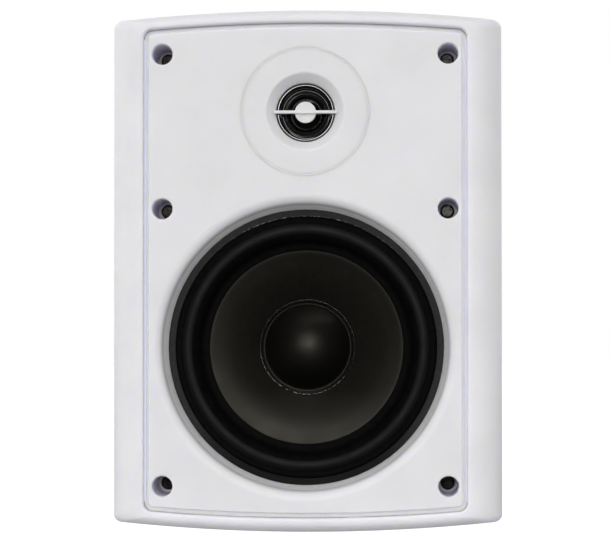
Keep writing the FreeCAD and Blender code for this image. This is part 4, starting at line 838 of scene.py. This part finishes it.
def eased_copy(name, node, width_mm, made, slot):
    """A merged copy of a CAD node with softened edges that stands for it on the cabinet."""
    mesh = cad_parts[node].data.copy()
    mesh.name = name
    piece = bpy.data.objects.new(name, mesh)
    scene.collection.objects.link(piece)
    pick(piece)
    bpy.ops.mesh.customdata_custom_splitnormals_clear()
    bpy.ops.object.mode_set(mode="EDIT")
    bpy.ops.mesh.select_all(action="SELECT")
    bpy.ops.mesh.remove_doubles(threshold=1e-6)
    bpy.ops.mesh.dissolve_limited(angle_limit=math.radians(0.5))
    bpy.ops.object.mode_set(mode="OBJECT")
    apply_modifier(piece, "BEVEL", width=width_mm * MM, segments=2, limit_method="ANGLE",
                   angle_limit=math.radians(50), use_clamp_overlap=True)
    smooth(piece, 40)
    finish_piece(piece, made, slot, node)
    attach(piece, "cabinet")


eased_copy("woofer_trim_ring", "woofer_gasket_ring", 0.3, ring_fibre, "grey_gasket")
eased_copy("baffle_foam_strip", "baffle_seal", 0.25, seal_foam, "black_foam")
eased_copy("terminal_foam_strip", "terminal_cup_seal", 0.2, seal_foam, "black_foam")

# %% [markdown]
# ## Spider
# Behind the cone a disc of stiffened cloth centres the coil. It is pressed into rings of smooth
# waves, which the solid draws as a zigzag. The outline follows a sine wave instead.

# %% Spider
SPIDER_FRONT, SPIDER_SKIN, WAVE, WAVE_END, SPIDER = 34.3, 0.5, 1.2, 36.0, 42.0
WAVES, WAVE_STEPS = 4.5, 72


def wave_depth(radius):
    turn = (radius - NECK) / (WAVE_END - NECK) * WAVES * 2 * math.pi
    return SPIDER_FRONT + WAVE * math.sin(turn)


wave_stops = [NECK + (WAVE_END - NECK) * k / WAVE_STEPS for k in range(WAVE_STEPS + 1)]
spider_front = [(r, wave_depth(r)) for r in wave_stops] + [(SPIDER, SPIDER_FRONT)]
spider_back = [(r, d + SPIDER_SKIN) for r, d in reversed(spider_front)]
spider_outline = spider_front + spider_back + spider_front[:1]
spider_cloth = turned_piece("woofer_spider_cloth", WOOFER, spider_outline, sides=128)
smooth(spider_cloth, 60)
resin_cloth = new_finish("resin_cloth", specular=0.4)
cloth_weave = times(resin_cloth, bands(resin_cloth, 1500, "X"), bands(resin_cloth, 1500, "Z"))
tint(resin_cloth, cloth_weave,
     [(0.0, (0.20, 0.10, 0.02)), (0.5, (0.42, 0.23, 0.06)), (1.0, (0.55, 0.33, 0.11))])
roughen(resin_cloth, grain(resin_cloth, 300), 0.45, 0.60)
relief(resin_cloth, cloth_weave, 0.10)
finish_piece(spider_cloth, resin_cloth, "resin_cloth", "woofer_spider")
flex_around(spider_cloth)

# %% [markdown]
# ## Tinsel leads
# Two braided leads carry the current from the frame's tags to the moving cone, so they hang in a
# loose bow. A NURBS path with five points gives the bow, a bevel gives it its thickness, and a
# slanted wave in the finish shows the braid.

# %% Tinsel leads
braid = new_finish("tinsel_braid", roughness=0.34, metallic=1.0)
strands = times(braid, bands(braid, 1300, "DIAGONAL"), bands(braid, 2100, "Y"))
tint(braid, strands, [(0.0, (0.20, 0.08, 0.035)), (0.4, (0.58, 0.30, 0.16)), (1.0, (0.78, 0.48, 0.30))])
relief(braid, strands, 0.15)
LEAD_SIDE, LEAD_RADIUS, LEAD_SINK = 6.0, 0.55, 0.6


def tinsel_lead(name, node, side):
    low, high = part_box(node)
    x = side * LEAD_SIDE * MM
    tag = (x, high[1], high[2] - LEAD_SINK * MM)
    foot = (x, low[1], low[2] + LEAD_SINK * MM)
    stops = [tag, (x, tag[1] - 9 * MM, tag[2]), (x, foot[1] + 7 * MM, (tag[2] + foot[2]) / 2),
             (x, foot[1] + 5 * MM, foot[2]), foot]
    bpy.ops.object.select_all(action="DESELECT")
    bpy.ops.curve.primitive_nurbs_path_add()
    lead = bpy.context.active_object
    lead.name = name
    spline = lead.data.splines[0]
    for point, stop in zip(spline.points, stops):
        point.co = (*stop, 1)
    spline.order_u = 3
    spline.use_endpoint_u = True
    lead.data.resolution_u = 12
    lead.data.bevel_depth = LEAD_RADIUS * MM
    lead.data.bevel_resolution = 3
    lead.data.use_fill_caps = True
    bpy.ops.object.convert(target="MESH")
    lead = bpy.context.active_object
    smooth(lead, 60)
    finish_piece(lead, braid, "tinsel", node)
    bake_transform(lead)


tinsel_lead("woofer_tinsel_plus", "woofer_lead_plus", 1)
tinsel_lead("woofer_tinsel_minus", "woofer_lead_minus", -1)

# %% [markdown]
# ## Tweeter dome
# The tweeter's dome is lacquered silk on a short former, and a small half roll of the same cloth
# hangs it in the clamp ring. The dome is a turned sheet with a Solidify modifier, the roll is a
# closed outline.

# %% Tweeter dome and its edge
DOME, DOME_RISE, DOME_SKIN, FORMER_BACK, FORMER_MIDDLE = 10.0, 3.6, 0.35, 14.8, 12.5
EDGE_FRONT, EDGE_SKIN, EDGE_RISE = 10.1, 0.4, 1.2
dome_curve = (DOME ** 2 + DOME_RISE ** 2) / (2 * DOME_RISE)
dome_tilt = math.degrees(math.asin(DOME / dome_curve))
silk_arc = arc((0, EDGE_FRONT - DOME_RISE + dome_curve), dome_curve, 90 - dome_tilt, 90, 22)
silk_outline = [(DOME, depth) for depth in (FORMER_BACK, FORMER_MIDDLE, EDGE_FRONT + 0.3)]
silk_outline += silk_arc[:-1] + [(0.0, silk_arc[-1][1])]
silk_dome = turned_piece("tweeter_silk_dome", TWEETER, silk_outline, sides=128)
apply_modifier(silk_dome, "SOLIDIFY", thickness=DOME_SKIN * MM, offset=-1)
smooth(silk_dome, 45)
finish_piece(silk_dome, dome_silk, "black_cloth", "tweeter_dome")
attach(silk_dome, "tweeter_moving")

EDGE_OUT, EDGE_IN, EDGE_HEM = 12.9, 10.6, 19.4
edge_half = (EDGE_OUT - EDGE_IN) / 2
edge_curve = (edge_half ** 2 + EDGE_RISE ** 2) / (2 * EDGE_RISE)
edge_centre = ((EDGE_OUT + EDGE_IN) / 2, EDGE_FRONT - EDGE_RISE + edge_curve)
edge_turn = math.degrees(math.asin(min(1, edge_half / edge_curve)))
edge_front = [(EDGE_HEM, EDGE_FRONT)] + arc(edge_centre, edge_curve, 90 - edge_turn, 90 + edge_turn, 16)
edge_front += [(DOME + 0.02, EDGE_FRONT)]
edge_back = [(r, d + EDGE_SKIN) for r, d in reversed(edge_front)]
edge_roll = turned_piece("tweeter_edge_roll", TWEETER, edge_front + edge_back + edge_front[:1], sides=128)
smooth(edge_roll, 45)
finish_piece(edge_roll, edge_cloth, "black_cloth", "tweeter_suspension")
flex_around(edge_roll)

# %% [markdown]
# ## Gloss ring of the tweeter
# A glossy ring clamps the cloth and frames the dome. On the real object it is moulded with a small
# bevel that faces the middle, which catches the light as a thin arc. The outline is one closed
# section: the flat part under the plate, the collar, and the bevel.

# %% Gloss ring
gloss_outline = [(20.4, 6.55), (14.6, 6.55), (14.55, 5.4), (14.3, 5.05), (13.9, 4.95), (13.5, 5.0),
                 (12.3, 5.55), (12.1, 5.9), (12.2, 7.2), (13.0, 8.0), (13.0, 10.05), (20.4, 10.05),
                 (20.4, 6.55)]
gloss_ring = turned_piece("tweeter_gloss_ring", TWEETER, gloss_outline, sides=128)
apply_modifier(gloss_ring, "BEVEL", width=0.12 * MM, segments=2, limit_method="ANGLE",
               angle_limit=math.radians(25))
smooth(gloss_ring, 45)
finish_piece(gloss_ring, lacquer_black, "gloss_black", "tweeter_clamp_ring")
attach(gloss_ring, "cabinet")

# %% [markdown]
# ## Sealing bead of the tweeter's plate
# The plate sits in its hole with a gap as thin as a hair. A little sealant fills the gap almost to
# the front, so only a faint line shows. A thin closed ring between the plate and the hole does
# the same here, in a white that is slightly bluer than the plastic.

# %% Sealing bead
HOLE, PLATE_GAP, PLATE_CHAMFER = 32.0, 0.15, 0.5
BEAD_CLEAR, BEAD_FRONT, BEAD_BACK = 0.01, 0.05, 1.0
bead_in = HOLE - PLATE_GAP + BEAD_CLEAR
bead_out = HOLE - BEAD_CLEAR
bead_lip = bead_in - PLATE_CHAMFER + BEAD_FRONT
bead_outline = [(bead_lip, BEAD_FRONT), (bead_out, BEAD_FRONT), (bead_out, BEAD_BACK), (bead_in, BEAD_BACK),
                (bead_in, PLATE_CHAMFER), (bead_lip, BEAD_FRONT)]
plate_bead = turned_piece("tweeter_plate_bead", TWEETER, bead_outline, sides=192)
smooth(plate_bead)
sealant_white = mottled("sealant_white", (0.76, 0.76, 0.82), (0.80, 0.80, 0.87), 300, 0.50, 0.004)
finish_piece(plate_bead, sealant_white, "white_plastic")
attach(plate_bead, "cabinet")

# %% [markdown]
# ## Strips beside the baffle
# The baffle's flange is a hair narrower than the mouth of the cabinet. Down each side a strip of
# soft white plastic closes that gap and rounds the corner of the groove, so no dark line shows.
# Its white is paler and bluer than the baffle's, a painted light for the groove. Its section is
# drawn once as a filled outline, which is then extruded to the strip's length.

# %% Side strips
# Painted light: the strip is painted a paler, bluer white than the baffle.
strip_white_painted_light = mottled("strip_white_painted_light", (0.82, 0.83, 0.94), (0.86, 0.87, 0.98), 300, 0.50, 0.004)
FLANGE_GAP, STRIP_CLEAR, STRIP_END = 0.15, 0.02, 8.0
GROOVE_FLOOR, STRIP_FOOT = 2.59, 3.4
strip_section = [(STRIP_CLEAR, 1.3), (0.10, 1.75), (0.28, 2.2), (0.60, 2.5), (1.0, GROOVE_FLOOR - 0.01),
                 (0.14, GROOVE_FLOOR), (0.13, STRIP_FOOT), (STRIP_CLEAR, STRIP_FOOT)]


def side_strip(name, side):
    low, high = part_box("front_baffle")
    lip = high[0] + FLANGE_GAP * MM
    bottom, top = low[2] + STRIP_END * MM, high[2] - STRIP_END * MM
    bpy.ops.object.select_all(action="DESELECT")
    bpy.ops.mesh.primitive_circle_add(vertices=len(strip_section), radius=MM, fill_type="NGON")
    strip = bpy.context.active_object
    strip.name = name
    for v, (inset, depth) in zip(strip.data.vertices, strip_section):
        v.co = (side * (lip - inset * MM), FRONT + depth * MM, bottom)
    bpy.ops.object.mode_set(mode="EDIT")
    bpy.ops.mesh.select_all(action="SELECT")
    bpy.ops.mesh.extrude_region_move(TRANSFORM_OT_translate={"value": (0, 0, top - bottom)})
    bpy.ops.mesh.select_all(action="SELECT")
    bpy.ops.mesh.normals_make_consistent(inside=False)
    bpy.ops.object.mode_set(mode="OBJECT")
    smooth(strip, 40)
    finish_piece(strip, strip_white_painted_light, "white_plastic")
    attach(strip, "cabinet")


side_strip("baffle_strip_left", -1)
side_strip("baffle_strip_right", 1)

# %% [markdown]
# ## Spring leaves of the terminals
# Under each terminal lever a flat spring presses on the bared wire. It is cut from strip, so it is
# a thin bar with eased edges, subdivided along its length.

# %% Spring leaves


def spring_leaf(name, node):
    low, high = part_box(node)
    bpy.ops.object.select_all(action="DESELECT")
    bpy.ops.mesh.primitive_cube_add(size=1, location=(low + high) / 2, scale=high - low)
    leaf = bpy.context.active_object
    leaf.name = name
    bpy.ops.object.transform_apply(location=True, rotation=True, scale=True)
    bpy.ops.object.mode_set(mode="EDIT")
    bpy.ops.mesh.select_all(action="SELECT")
    bpy.ops.mesh.subdivide(number_cuts=11)
    bpy.ops.object.mode_set(mode="OBJECT")
    apply_modifier(leaf, "BEVEL", width=0.08 * MM, segments=2, limit_method="ANGLE",
                   angle_limit=math.radians(50))
    smooth(leaf, 45)
    finish_piece(leaf, zinc_plate, "zinc_steel", node)
    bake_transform(leaf)


spring_leaf("red_spring_leaf", "red_contact_leaf")
spring_leaf("black_spring_leaf", "black_contact_leaf")

# %% [markdown]
# ## Last update
# The view layer is brought up to date once every piece is in place.

# %% Update the view layer
bpy.context.view_layer.update()
